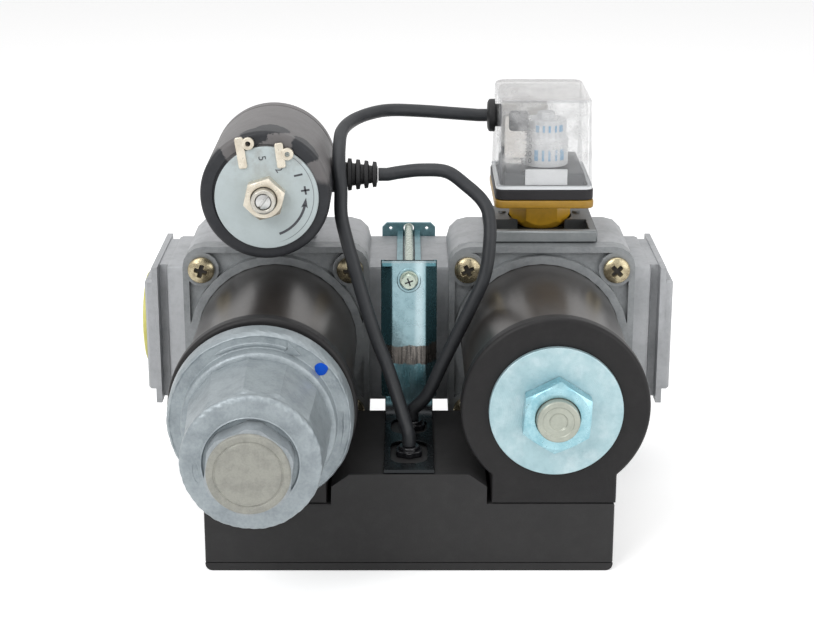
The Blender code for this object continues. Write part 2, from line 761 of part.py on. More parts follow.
def bonnet(side):
    """The cover of a station: a sunken field with a rim, four screw bosses and the coil's collar."""
    label = SIDE_NAMES[side]
    base = along(station(side), GAP)
    outline = rounded_rectangle(STATION_WIDTH, STATION_HEIGHT, STATION_CORNER)
    inner = rounded_rectangle(
        STATION_WIDTH - 2 * BONNET_RIM, STATION_HEIGHT - 2 * BONNET_RIM, STATION_CORNER - BONNET_RIM
    )
    cover = plate(f"bonnet_{label}", [outline], BONNET_THICKNESS - GAP, base, FRONT, "cast_aluminium")
    field = plate(
        f"bonnet_field_{label}", [inner], BONNET_THICKNESS, along(station(side), BONNET_FIELD), FRONT
    )
    bore = TUBE_RADIUS + GAP
    x, y, z = base
    holes = []
    head_room = SCREW_HEAD_RADIUS + GAP
    for i, (dx, dz) in enumerate(bonnet_screw_places(), 1):
        spot = (x + dx, y, z + dz)
        cut(field, prism(f"boss_{label}_{i}", BOSS_RADIUS, 3 * BONNET_THICKNESS, spot, FRONT))
        hole_radius = SCREW_RADIUS + SCREW_HOLE_CLEARANCE
        length = 2 * BONNET_THICKNESS
        holes.append(
            prism(f"bonnet_hole_{label}_{i}", hole_radius, length, along(spot, -0.002), FRONT, sides=TINY)
        )
        seat = along(spot, BONNET_THICKNESS - GAP / 2)
        holes.append(prism(f"head_room_{label}_{i}", head_room, length, seat, FRONT))
    collar = SHELL_RADIUS + GAP
    top = BONNET_THICKNESS + COLLAR_RISE
    place_of_collar = station(side)
    cut(cover, field)
    join(
        cover,
        ring(
            f"collar_{label}",
            collar,
            collar + COLLAR_WALL,
            BONNET_FIELD / 2,
            top,
            place_of_collar,
            FRONT,
            steps=BROAD,
        ),
    )
    counterbore = FLANGE_BACK + TUBE_FLANGE_THICKNESS + GAP
    seat = [
        (0, -0.002),
        (TUBE_FLANGE_RADIUS + GAP, -0.002),
        (TUBE_FLANGE_RADIUS + GAP, counterbore),
        (bore, counterbore),
        (bore, 2 * BONNET_THICKNESS),
        (0, 2 * BONNET_THICKNESS),
    ]
    cut(cover, turned(f"bonnet_bore_{label}", seat, station(side), FRONT), *holes)
    return cover


def pan_head(radius, height, seat, steps=3):
    """Half section of a domed screw head that stands on a seat."""
    rim = height * 0.35
    dome = [
        (radius * math.cos(a), seat + rim + (height - rim) * math.sin(a))
        for a in (math.pi / 2 * i / steps for i in range(steps + 1))
    ]
    return [(radius, seat)] + dome[:-1] + [(0, seat + height)]


def bonnet_screws(side):
    label = SIDE_NAMES[side]
    x, y, z = station(side)
    seat = BONNET_THICKNESS + GAP
    tip = seat - SCREW_LENGTH
    section = [(0, tip), (SCREW_RADIUS, tip), (SCREW_RADIUS, seat)]
    section += pan_head(SCREW_HEAD_RADIUS, SCREW_HEAD_HEIGHT, seat)
    for i, (dx, dz) in enumerate(bonnet_screw_places(), 1):
        turned(f"bonnet_screw_{label}_{i}", section, (x + dx, y, z + dz), FRONT, "yellow_passivated", SMALL)


def coil(side):
    """The steel shell, the winding in it, and the moulded front with the foot that stands on the box."""
    label = SIDE_NAMES[side]
    where = station(side)
    x = where[0]
    base = BONNET_FIELD + GAP
    ring(
        f"coil_shell_{label}",
        SHELL_BORE,
        SHELL_RADIUS,
        base,
        SHELL_TOP - GAP,
        where,
        FRONT,
        "dark_steel",
        BROAD,
    )
    bore = TUBE_RADIUS + GAP
    spigot = SHELL_BORE - GAP
    spigot_base = SHELL_TOP - SPIGOT_LENGTH
    ring(f"coil_winding_{label}", bore, spigot, base + GAP, spigot_base - GAP, where, FRONT, "copper")
    edge = FRONT_RING_EDGE
    rim = FRONT_RING_RADIUS
    section = [(bore, spigot_base), (spigot, spigot_base), (spigot, SHELL_TOP), (rim - edge, SHELL_TOP)]
    section += [(rim, SHELL_TOP + edge), (rim, COIL_STACK - edge)]
    section += [(rim - edge, COIL_STACK), (bore, COIL_STACK)]
    front = turned(f"coil_housing_{label}", section, where, FRONT, "black_plastic", BROAD)
    foot = block(
        f"foot_{label}",
        (x - FOOT_WIDTH / 2, FRONT_Y, BOX_SHOULDER + GAP),
        (x + FOOT_WIDTH / 2, FRONT_Y + FOOT_DEPTH, AXIS_Z - FRONT_RING_RADIUS / 2),
    )
    cut(foot, prism(f"foot_cut_{label}", SHELL_RADIUS + GAP, SHELL_TOP, where, FRONT, sides=BROAD))
    low, high = tenon_span(side)
    tenon = block(f"tenon_{label}", (*low, BOX_SHOULDER - TENON_LENGTH), (*high, BOX_SHOULDER + 0.002))
    join(front, foot, tenon)


def tenon_span(side, clearance=0.0):
    """Corners in plan of the coil's plug, which reaches down into the box."""
    x = side * COIL_PITCH / 2
    y = FRONT_Y + FOOT_DEPTH / 2
    across, deep = TENON_WIDTH / 2 + clearance, TENON_DEPTH / 2 + clearance
    return (x - across, y - deep), (x + across, y + deep)


def core_tube(side):
    """The armature's tube with the fixed core in its front end, whose thread sticks out of the coil."""
    hollow = TUBE_RADIUS - TUBE_WALL
    flange_top = FLANGE_BACK + TUBE_FLANGE_THICKNESS
    shoulder = SHELL_TOP + GAP
    section = [
        (CORE_END_RADIUS - CORE_END_CHAMFER, CORE_END),
        (CORE_END_RADIUS, CORE_END - CORE_END_CHAMFER),
        (CORE_END_RADIUS, shoulder),
        (TUBE_RADIUS, shoulder),
        (TUBE_RADIUS, flange_top),
        (TUBE_FLANGE_RADIUS, flange_top),
        (TUBE_FLANGE_RADIUS, FLANGE_BACK),
        (hollow, FLANGE_BACK),
        (hollow, CORE_BACK),
    ]
    if side == LEFT_SIDE:
        rod_bore = ROD_RADIUS + ROD_CLEARANCE
        section = [(rod_bore, CORE_END), *section, (rod_bore, CORE_BACK)]
    else:
        floor = CORE_END - CORE_DIMPLE_DEPTH
        dimple = [(0, floor), (CORE_DIMPLE_RADIUS, floor), (CORE_DIMPLE_RADIUS, CORE_END)]
        section = [*dimple, *section, (0, CORE_BACK)]
    turned(f"core_tube_{SIDE_NAMES[side]}", section, station(side), FRONT, "bright_steel")


def armature(side):
    """What the coil pulls: the armature with its stem, the valve disc, its seal and the closing spring."""
    label = SIDE_NAMES[side]
    where = station(side)
    radius = TUBE_RADIUS - TUBE_WALL - RUNNING_GAP
    tip = SEAT_HEIGHT + GAP
    turned(
        f"armature_{label}",
        [
            (0, tip),
            (STEM_TIP_RADIUS, tip),
            (STEM_TIP_RADIUS, DISC_TOP + GAP),
            (STEM_RADIUS, DISC_TOP + GAP),
            (STEM_RADIUS, ARMATURE_TAIL),
            (radius, ARMATURE_TAIL),
            (radius, ARMATURE_TOP),
            (0, ARMATURE_TOP),
        ],
        where,
        FRONT,
        "bright_steel",
        SMALL,
    )
    eye = STEM_TIP_RADIUS + GAP
    boss_eye = STEM_RADIUS + GAP
    disc = [
        (eye, DISC_BASE),
        (DISC_RADIUS, DISC_BASE),
        (DISC_RADIUS, DISC_TOP),
        (DISC_BOSS_RADIUS, DISC_TOP),
        (DISC_BOSS_RADIUS, DISC_TOP + DISC_BOSS_RISE),
        (boss_eye, DISC_TOP + DISC_BOSS_RISE),
        (boss_eye, DISC_TOP),
        (eye, DISC_TOP),
    ]
    turned(f"valve_disc_{label}", disc, where, FRONT, "bright_steel", SMALL)
    seal_base = SEAT_HEIGHT + GAP
    ring(
        f"disc_seal_{label}",
        eye,
        SEAL_RADIUS,
        seal_base,
        seal_base + SEAL_THICKNESS,
        where,
        FRONT,
        "rubber",
        SMALL,
    )
    reach = 2 * GAP + SPRING_WIRE
    spring(
        f"return_spring_{label}",
        where,
        SPRING_RADIUS,
        SPRING_WIRE,
        DISC_TOP + reach,
        FLANGE_BACK - reach,
        SPRING_TURNS,
    )


def spring(name, where, radius, wire, low, high, turns, per_turn=TINY):
    """A helical spring round an axis that faces forward, between two heights of its wire's centre."""
    count = int(turns * per_turn)
    points = []
    for i in range(count + 1):
        angle = 2 * math.pi * i / per_turn
        height = low + (high - low) * i / count
        x, z = radius * math.cos(angle), radius * math.sin(angle)
        points.append((where[0] + x, where[1] - height, where[2] + z))
    tube_along(name, points, wire, "spring_steel", 0)


def hex_piece(name, flats, low, high, where, finish, bore, chamfer, turn, round_back=True):
    """A nut or a hexagon head: a prism whose corners are turned off, with or without a bore."""
    corner = hex_radius(flats)
    nut = prism(name, corner, high - low, along(where, low), FRONT, finish, sides=6, turn=turn)
    lathe = corner + 0.0005
    rim = flats / 2 + chamfer * 0.2
    section = [(0, high), (rim, high), (lathe, high - (lathe - rim) * 0.55)]
    if round_back:
        section += [(lathe, low + (lathe - rim) * 0.55), (rim, low), (0, low)]
    else:
        section += [(lathe, low), (0, low)]
    boolean(nut, "INTERSECT", turned(f"{name}_lathe", section, where, FRONT))
    if bore:
        middle = (low + high) / 2
        start = along(where, middle - high + low)
        cut(nut, prism(f"{name}_bore", bore, 2 * (high - low), start, FRONT, sides=ROUND))
    return nut


def coil_washer_and_nut():
    """What clamps the right coil: a broad zinc-plated washer and a hexagon nut on the core's thread."""
    where = station(RIGHT_SIDE)
    bore = CORE_END_RADIUS + GAP
    base = COIL_STACK + GAP
    top = base + WASHER_THICKNESS
    ring("coil_washer", bore, WASHER_RADIUS, base, top, where, FRONT, "zinc", BROAD)
    nut_base = top + GAP
    hex_piece(
        "coil_nut", NUT_FLATS, nut_base, nut_base + NUT_HEIGHT, where, "zinc", bore, 0.0, NUT_TURN
    )


def damper():
    """The oil damper that clamps the left coil: a flanged barrel with flats, its piston and its cap."""
    where = station(LEFT_SIDE)
    flange_top, front = DAMPER_FLANGE_TOP, DAMPER_FRONT
    step_top = flange_top + DAMPER_STEP_RISE
    ring_base = front - DAMPER_RING_LENGTH
    section = [(0, DAMPER_BASE), (DAMPER_FLANGE_RADIUS - 0.001, DAMPER_BASE)]
    section += [(DAMPER_FLANGE_RADIUS, DAMPER_BASE + 0.001)]
    section += [(DAMPER_FLANGE_RADIUS, flange_top - 0.0015), (DAMPER_FLANGE_RADIUS - 0.0015, flange_top)]
    section += [(DAMPER_STEP_RADIUS, flange_top), (DAMPER_STEP_RADIUS - 0.0008, step_top), (0, step_top)]
    housing = turned("damper_housing", section, where, FRONT, "die_cast_zinc", BROAD)
    barrel = prism(
        "damper_barrel",
        DAMPER_BARREL_BASE / math.cos(math.pi / DAMPER_FLATS),
        ring_base - step_top + DAMPER_STEP_RADIUS - DAMPER_BARREL_BASE,
        along(where, step_top - DAMPER_STEP_RADIUS + DAMPER_BARREL_BASE),
        FRONT,
        sides=DAMPER_FLATS,
        top=DAMPER_BARREL_TOP / math.cos(math.pi / DAMPER_FLATS),
        turn=DAMPER_TURN,
    )
    rim = DAMPER_RING_RADIUS
    lip = [(0, ring_base - 0.002), (rim - 0.0006, ring_base - 0.002)]
    lip += arc((rim - 0.0015, front - 0.0015), 0.0015, 0, 90, 2)
    lip += [(0, front)]
    join(housing, barrel, turned("damper_ring", lip, where, FRONT, steps=BROAD))
    thread = CORE_END_RADIUS + RUNNING_GAP
    bore = [
        (0, DAMPER_BASE - 0.001),
        (thread, DAMPER_BASE - 0.001),
        (thread, DAMPER_FLOOR),
        (DAMPER_BORE_RADIUS, DAMPER_FLOOR),
        (DAMPER_BORE_RADIUS, front + 0.001),
        (0, front + 0.001),
    ]
    cut(housing, turned("damper_bore", bore, where, FRONT))
    damper_piston(where)
    damper_cap(where)


def damper_piston(where):
    """The piston that the left armature pushes through the oil, on a rod through the fixed core."""
    back = DAMPER_FLOOR + PISTON_BACK
    head = DAMPER_BORE_RADIUS - RUNNING_GAP
    section = [
        (0, ARMATURE_TOP + GAP),
        (ROD_RADIUS, ARMATURE_TOP + GAP),
        (ROD_RADIUS, back),
        (head, back),
        (head, back + PISTON_THICKNESS),
        (0, back + PISTON_THICKNESS),
    ]
    turned("damper_piston", section, where, FRONT, "brass")


def damper_cap(where):
    """The screw cap: a hexagon with a round face, on a spigot that closes the oil's bore."""
    base = DAMPER_FRONT + GAP
    hex_top = base + CAP_HEX_HEIGHT
    face = base + CAP_HEIGHT
    cap = hex_piece(
        "damper_cap", CAP_FLATS, base, hex_top, where, "die_cast_zinc", 0, 0.001, CAP_TURN, round_back=False
    )
    edge = 0.0012
    button = [(0, hex_top - 0.001), (CAP_FACE_RADIUS, hex_top - 0.001)]
    button += arc((CAP_FACE_RADIUS - edge, face - edge), edge, 0, 90, 2)
    button += [(0, face)]
    spigot = prism(
        "cap_spigot",
        DAMPER_BORE_RADIUS - GAP,
        CAP_SPIGOT + 0.001,
        along(where, base - CAP_SPIGOT),
        FRONT,
        sides=ROUND,
    )
    join(cap, turned("cap_face", button, where, FRONT, steps=BROAD), spigot)


def box_outline(inset=0.0):
    """Front outline of the terminal box above its cover, drawn from its lower left corner."""
    half = BOX_WIDTH / 2 - inset
    low = BOX_COVER_THICKNESS + GAP - (0.01 if inset else 0.0)
    shoulder = BOX_SHOULDER - inset
    rise = RISE_WIDTH / 2 - inset
    rise_top = RISE_TOP_WIDTH / 2 - inset * 0.6
    top = RISE_TOP - inset
    right = [(half, low), (half, shoulder), (rise, shoulder), (rise, top - RISE_EDGE_DROP), (rise_top, top)]
    return right + [(-x, z) for x, z in reversed(right)]


def terminal_box():
    """The moulded box: shoulders that carry the coils and a raised middle with the cable glands."""
    back = FRONT_Y + BOX_DEPTH
    walls = BOX_WALL
    half, low = BOX_WIDTH / 2, BOX_COVER_THICKNESS + GAP
    box = block(
        "terminal_box",
        (-half, FRONT_Y, low),
        (half, back, BOX_SHOULDER),
        "black_plastic",
        0.0012,
        2,
        sharp=(2, 0),
    )
    middle = [p for p in box_outline() if abs(p[0]) <= RISE_WIDTH / 2]
    middle[0], middle[-1] = (middle[0][0], low + walls), (middle[-1][0], low + walls)
    rise_back = FRONT_Y + RISE_DEPTH
    join(box, plate("box_rise", [middle], RISE_DEPTH, (0, rise_back, 0), FRONT))
    hollow = block(
        "box_hollow",
        (walls - half, FRONT_Y + walls, low - walls),
        (half - walls, back - walls, BOX_SHOULDER - walls),
    )
    inside = [p for p in box_outline(walls) if abs(p[0]) <= RISE_WIDTH / 2 - walls]
    inside[0], inside[-1] = (inside[0][0], low + walls), (inside[-1][0], low + walls)
    rise_hollow = plate(
        "box_rise_hollow", [inside], RISE_DEPTH - 2 * walls, (0, rise_back - walls, 0), FRONT
    )
    cut(box, hollow, rise_hollow)
    for side, label in SIDE_NAMES.items():
        near, far = tenon_span(side, GAP)
        cut(
            box,
            block(f"plug_opening_{label}", (*near, BOX_SHOULDER - 2 * walls), (*far, BOX_SHOULDER + 0.001)),
        )
    for name, (x, y) in GLAND_PLACES.items():
        hole = GLAND_NOSE_RADIUS + GAP
        cut(box, prism(f"{name}_hole", hole, 3 * walls, (x, y, RISE_TOP - 2 * walls), UP))
    for i, (x, y) in enumerate(cover_screw_places(), 1):
        post = prism(
            f"box_post_{i}",
            COVER_SCREW_RADIUS + walls / 2,
            BOX_SHOULDER - low - walls / 2,
            (x, y, low),
            UP,
            sides=TINY,
        )
        join(box, post)
    return box


def cover_screw_places():
    """Plan places of the screws that hold the box's cover."""
    across = BOX_WIDTH / 2 - COVER_SCREW_INSET
    deep = BOX_DEPTH / 2 - COVER_SCREW_INSET
    return [(x, y) for x in (-across, across) for y in (-deep, deep)]


def box_cover():
    """The box's bottom plate, with the ends of its long edges rounded and its screws sunk in it."""
    half = BOX_WIDTH / 2
    corner = BOX_COVER_THICKNESS - BOX_CORNER_FLAT
    outline = [(half, BOX_COVER_THICKNESS), (-half, BOX_COVER_THICKNESS)]
    outline += arc((corner - half, corner), corner, 180, 270, 4)
    outline += arc((half - corner, corner), corner, 270, 360, 4)
    cover = plate("box_cover", [outline], BOX_DEPTH, (0, FRONT_Y + BOX_DEPTH, 0), FRONT, "black_plastic")
    for i, (x, y) in enumerate(cover_screw_places(), 1):
        sink = ring(
            f"cover_screw_ring_{i}",
            COVER_SCREW_RADIUS,
            COVER_SCREW_RADIUS + COVER_SCREW_RECESS / 2,
            -0.001,
            COVER_SCREW_RECESS,
            (x, y, 0),
            UP,
            steps=TINY,
        )
        cut(cover, sink)
    return cover


def terminal_strip():
    """The row of screw terminals inside the box."""
    low = BOX_COVER_THICKNESS + GAP
    half = STRIP_LENGTH / 2
    strip = block(
        "terminal_strip",
        (-half, -STRIP_DEPTH / 2, low),
        (half, STRIP_DEPTH / 2, low + STRIP_HEIGHT),
        "white_plastic",
    )
    pitch = STRIP_LENGTH / STRIP_WAYS
    for i in range(STRIP_WAYS):
        x = -half + pitch * (i + 0.5)
        well = prism(
            f"terminal_well_{i}", pitch * 0.3, 0.008, (x, 0, low + STRIP_HEIGHT - 0.004), UP, sides=6
        )
        cut(strip, well)
    return strip


def front_bracket():
    """The zinc-plated channel that ties the box to the body, with a foot plate that the glands stand in."""
    back = BRACKET_Y + SHEET
    top = AXIS_Z + BRACKET_TOP
    foot_top = RISE_TOP + GAP + SHEET
    bend_z = foot_top + BRACKET_BEND
    flat, half, deep = BRACKET_FLAT / 2, BRACKET_WIDTH / 2, BRACKET_SIDE_DEPTH
    outer = [(flat, 0), (half, deep)]
    inner = [(half - SHEET * 1.25, deep), (flat - SHEET * 0.4, SHEET)]
    outline = outer + inner + [(-x, y) for x, y in reversed(outer + inner)]
    bracket = plate(
        "front_bracket", [outline], top - bend_z, (0, BRACKET_Y, bend_z), UP, "zinc"
    )
    lip_half = half - 0.0006
    lip = block(
        "bracket_lip",
        (-lip_half, BRACKET_Y, top - SHEET),
        (lip_half, BRACKET_Y + BRACKET_LIP, top + 0.0002),
    )
    bend = BRACKET_BEND
    centre = (BRACKET_Y - bend, foot_top + bend)
    outside = arc(centre, bend + SHEET, 0, -90, 5)
    inside = arc(centre, bend, -90, 0, 5)
    side_view = [(back, bend_z + 0.002)] + outside + [(FRONT_Y + GAP, RISE_TOP + GAP)]
    side_view += [(FRONT_Y + GAP, foot_top)] + inside + [(BRACKET_Y, bend_z + 0.002)]
    width = FOOT_PLATE_WIDTH
    foot = plate("bracket_foot", [side_view], width, (-width / 2, 0, 0), RIGHT)
    join(bracket, lip, foot)
    for i, (near, far) in enumerate(GLAND_WELLS, 1):
        opening = rounded_rectangle(GLAND_WELL_WIDTH, far - near, GLAND_WELL_CORNER)
        foot_base = (0, (near + far) / 2, RISE_TOP - SHEET)
        cut(bracket, plate(f"gland_opening_{i}", [opening], 3 * SHEET, foot_base, UP))
    hole = CLAMP_RADIUS + CLAMP_CLEARANCE
    cut(bracket, prism("clamp_hole_front", hole, 4 * SHEET, (0, back + 2 * SHEET, CLAMP_Z), FRONT))
    return bracket


def clamp_bolt():
    """The bolt over the body that draws the two brackets together, and its washer."""
    washer_back = BRACKET_Y - GAP
    washer_front = washer_back - CLAMP_WASHER_THICKNESS
    hole = CLAMP_RADIUS + CLAMP_CLEARANCE
    axis = (0, 0, CLAMP_Z)
    ring(
        "clamp_washer",
        hole,
        CLAMP_WASHER_RADIUS,
        -washer_back,
        -washer_front,
        axis,
        FRONT,
        "yellow_passivated",
        SMALL,
    )
    seat = GAP - washer_front
    tail = -(BODY_BACK_Y + GAP + REAR_PLATE_THICKNESS + CLAMP_TAIL)
    head = hex_piece(
        "clamp_bolt",
        CLAMP_HEAD_FLATS,
        seat,
        seat + CLAMP_HEAD_HEIGHT,
        axis,
        "yellow_passivated",
        0,
        0.0,
        0.0,
        False,
    )
    join(head, prism("clamp_shank", CLAMP_RADIUS, seat - tail + 0.001, along(axis, tail), FRONT))


def rear_bracket():
    """The plate behind the body that the clamp bolt screws into, with two arms over the casting."""
    half, chamfer = REAR_PLATE_WIDTH / 2, REAR_PLATE_CHAMFER
    low, top = BAR_TOP - REAR_PLATE_DROP, BAR_TOP + REAR_PLATE_RISE
    outline = [(half, low), (half, top - chamfer), (half - chamfer, top)]
    outline += [(-x, z) for x, z in reversed(outline)]
    back = BODY_BACK_Y + GAP + REAR_PLATE_THICKNESS
    bracket = plate("rear_bracket", [outline], REAR_PLATE_THICKNESS, (0, back, 0), FRONT, "zinc")
    base = BAR_TOP + GAP
    for side, label in SIDE_NAMES.items():
        centre = side * ARM_SPACING / 2
        arm = block(
            f"bracket_arm_{label}",
            (centre - ARM_WIDTH / 2, BRACKET_Y + BRACKET_LIP + GAP, base),
            (centre + ARM_WIDTH / 2, back - REAR_PLATE_THICKNESS / 2, base + ARM_THICKNESS),
        )
        join(bracket, arm)
        spot = (side * half * 0.68, back + 0.001, top - chamfer * 1.2)
        cut(bracket, prism(f"plate_hole_{label}", REAR_PLATE_HOLE, 0.004, spot, FRONT, sides=TINY))
    hole = CLAMP_RADIUS + CLAMP_CLEARANCE
    depth = 3 * REAR_PLATE_THICKNESS
    cut(bracket, prism("clamp_hole_rear", hole, depth, (0, back + REAR_PLATE_THICKNESS, CLAMP_Z), FRONT))
    return bracket


def glands():
    """The two cable glands on the raised part of the box."""
    base = RISE_TOP + GAP
    nose = base - GAP - BOX_WALL - 0.001
    for name, (x, y) in GLAND_PLACES.items():
        section = [
            (0, nose),
            (GLAND_NOSE_RADIUS, nose),
            (GLAND_NOSE_RADIUS, base),
            (GLAND_COLLAR_RADIUS, base),
            (GLAND_COLLAR_RADIUS, base + GLAND_COLLAR_HEIGHT),
            (GLAND_RADIUS, base + GLAND_COLLAR_HEIGHT),
            (GLAND_RADIUS - 0.0006, base + GLAND_HEIGHT),
            (0, base + GLAND_HEIGHT),
        ]
        turned(name, section, (x, y, 0), UP, "black_plastic", SMALL)


def pilot_axis():
    """Where the pilot coil's axis meets the plane of its back."""
    return (-COIL_PITCH / 2, PILOT_Y, PILOT_AXIS_Z)


def pilot_body():
    """The pilot valve's own small casting, which stands on the left station behind and under its coil."""
    x, y, z = pilot_axis()
    half = PILOT_BLOCK_WIDTH / 2
    base = STATION_TOP + GAP
    body = block(
        "pilot_body",
        (x - half, BODY_FRONT_Y + PILOT_BLOCK_FRONT, base),
        (x + half, BODY_FRONT_Y + PILOT_BLOCK_BACK, base + PILOT_BLOCK_HEIGHT),
        "cast_aluminium",
        0.001,
        2,
    )
    post_back = y + GAP + PILOT_POST_DEPTH
    upright = block(
        "pilot_upright", (x - half * 0.9, y + GAP, base + 0.003), (x + half * 0.9, post_back, z)
    )
    top = prism("pilot_boss", PILOT_POST_RADIUS, PILOT_POST_DEPTH, (x, post_back, z), FRONT, sides=ROUND)
    join(body, upright, top)
    socket = SLEEVE_RADIUS + GAP
    seat = (x, y + SLEEVE_TAIL + GAP, z)
    cut(body, prism("sleeve_socket", socket, SLEEVE_TAIL + 0.004, seat, FRONT, sides=ROUND))
    return body


def pilot_coil():
    """The pilot's moulded coil, with a sunk front and a lug for the lead's boot."""
    where = pilot_axis()
    bore, rim, edge = SLEEVE_RADIUS + GAP, PILOT_RADIUS, PILOT_EDGE
    floor = PILOT_LENGTH - PILOT_DISC_RECESS
    sunk = PILOT_DISC_RADIUS + GAP
    section = [(bore, 0), (rim, 0)]
    section += arc((rim - edge, PILOT_LENGTH - edge), edge, 0, 90, 2)
    section += [(sunk, PILOT_LENGTH), (sunk, floor), (bore, floor)]
    body = turned("pilot_coil", section, where, FRONT, "black_plastic", BROAD)
    lug_start = (where[0] + rim * 0.7, boot_y(), where[2])
    length = (-BOOT_START - GAP) - lug_start[0]
    join(body, prism("boot_lug", BOOT_LUG_RADIUS, length, lug_start, RIGHT, sides=ROUND))
    top = floor + GAP + PILOT_DISC_THICKNESS
    ring(
        "pilot_disc",
        PILOT_DISC_HOLE,
        PILOT_DISC_RADIUS,
        floor + GAP,
        top,
        where,
        FRONT,
        "pale_plate",
        BROAD,
    )
    nut_base = floor + GAP
    hex_piece(
        "pilot_nut",
        PILOT_NUT_FLATS,
        nut_base,
        nut_base + PILOT_NUT_HEIGHT,
        where,
        "yellow_passivated",
        bore,
        0.0,
        PILOT_NUT_TURN,
        False,
    )


def pilot_sleeve():
    """The pilot's guide sleeve with its armature and spring behind and the regulating screw in front."""
    where = pilot_axis()
    nose = PILOT_LENGTH + PILOT_NUT_HEIGHT + SLEEVE_NOSE
    tail = -SLEEVE_TAIL
    armature_top = tail + GAP * 2 + PILOT_ARMATURE_LENGTH
    core_back = armature_top + PILOT_SPRING_LENGTH
    screw_bore = REGULATOR_RADIUS + RUNNING_GAP
    screw_floor = nose - REGULATOR_SINK - REGULATOR_LENGTH
    section = [
        (0, core_back),
        (SLEEVE_BORE, core_back),
        (SLEEVE_BORE, tail),
        (SLEEVE_RADIUS, tail),
        (SLEEVE_RADIUS, nose - 0.0006),
        (SLEEVE_RADIUS - 0.0006, nose),
        (screw_bore, nose),
        (screw_bore, screw_floor - GAP),
        (0, screw_floor - GAP),
    ]
    turned("pilot_sleeve", section, where, FRONT, "brass")
    armature_base = along(where, tail + GAP * 2)
    prism(
        "pilot_armature",
        SLEEVE_BORE - RUNNING_GAP,
        PILOT_ARMATURE_LENGTH,
        armature_base,
        FRONT,
        "bright_steel",
        ROUND,
    )
    reach = 2 * GAP + PILOT_SPRING_WIRE
    spring(
        "pilot_spring",
        where,
        SLEEVE_BORE * 0.7,
        PILOT_SPRING_WIRE,
        armature_top + reach,
        core_back - reach,
        4,
    )
    screw = prism(
        "regulator_screw",
        REGULATOR_RADIUS,
        REGULATOR_LENGTH,
        along(where, screw_floor),
        FRONT,
        "bright_steel",
        ROUND,
    )
    x, y, z = along(where, screw_floor + REGULATOR_LENGTH)
    long, wide = REGULATOR_RADIUS + 0.001, REGULATOR_SLOT / 2
    slot = block("regulator_slot", (-long, -0.001, -wide), (long, 0.0012, wide))
    slot.location = (x, y, z)
    slot.rotation_euler = (0, math.radians(-55), 0)
    cut(screw, slot)


def boot_y():
    return FRONT_Y + COIL_STACK - BOOT_AHEAD


def lead_boot():
    """The ribbed strain relief that the pilot's lead leaves through."""
    pitch = BOOT_LENGTH / BOOT_RIBS
    section = [(0, 0)]
    for i in range(BOOT_RIBS):
        rib = BOOT_ROOT_RADIUS + (BOOT_TIP_RADIUS - BOOT_ROOT_RADIUS) * i / (BOOT_RIBS - 1)
        section += [(rib, pitch * i), (rib, pitch * (i + 0.5)), (rib - BOOT_GROOVE, pitch * (i + 0.75))]
    section += [(BOOT_TIP_RADIUS - BOOT_GROOVE, BOOT_LENGTH), (0, BOOT_LENGTH)]
    turned("lead_boot", section, (-BOOT_START, boot_y(), PILOT_AXIS_Z), RIGHT, "rubber", SMALL)


def switch_mount():
    """The block between the right station and the pressure switch, with an open pocket in front."""
    x = COIL_PITCH / 2
    low = (x - BLOCK_WIDTH / 2, BODY_FRONT_Y - BLOCK_FRONT, BLOCK_BASE)
    high = (x + BLOCK_WIDTH / 2, BODY_FRONT_Y - BLOCK_FRONT + BLOCK_DEPTH, BLOCK_TOP)
    mount = block("switch_mount", low, high, "cast_aluminium", 0.0005, 1)
    floor = BLOCK_BASE + BLOCK_FLOOR
    wall = BLOCK_WALL
    pocket_back = low[1] + wall + BLOCK_POCKET_LENGTH
    pocket = block(
        "mount_pocket",
        (low[0] + wall, low[1] + wall, floor),
        (high[0] - wall, pocket_back, BLOCK_TOP + 0.01),
    )
    well = hex_radius(NIPPLE_FLATS) + 2 * GAP
    reach = BLOCK_TOP - BLOCK_BASE
    nipple_well = prism("nipple_well", well, reach, (SWITCH_X, SWITCH_Y, floor), UP, sides=ROUND)
    below = (SWITCH_X, SWITCH_Y, BLOCK_BASE - BLOCK_FLOOR)
    thread_way = prism("thread_way", THREAD_RADIUS + GAP, reach, below, UP)
    for side, label in SIDE_NAMES.items():
        spot = (SWITCH_X + side * BLOCK_SCREW_SPREAD / 2, SWITCH_Y + 0.004, BLOCK_TOP - 0.001)
        head_height = BLOCK_SCREW_RISE + 0.001
        join(mount, prism(f"mount_screw_{label}", BLOCK_SCREW_RADIUS, head_height, spot, UP, sides=TINY))
    cut(mount, pocket, nipple_well, thread_way)
    return mount


def switch_outline(inset, corner=SWITCH_CORNER):
    return rounded_rectangle(SWITCH_WIDTH - 2 * inset, SWITCH_DEPTH - 2 * inset, corner)


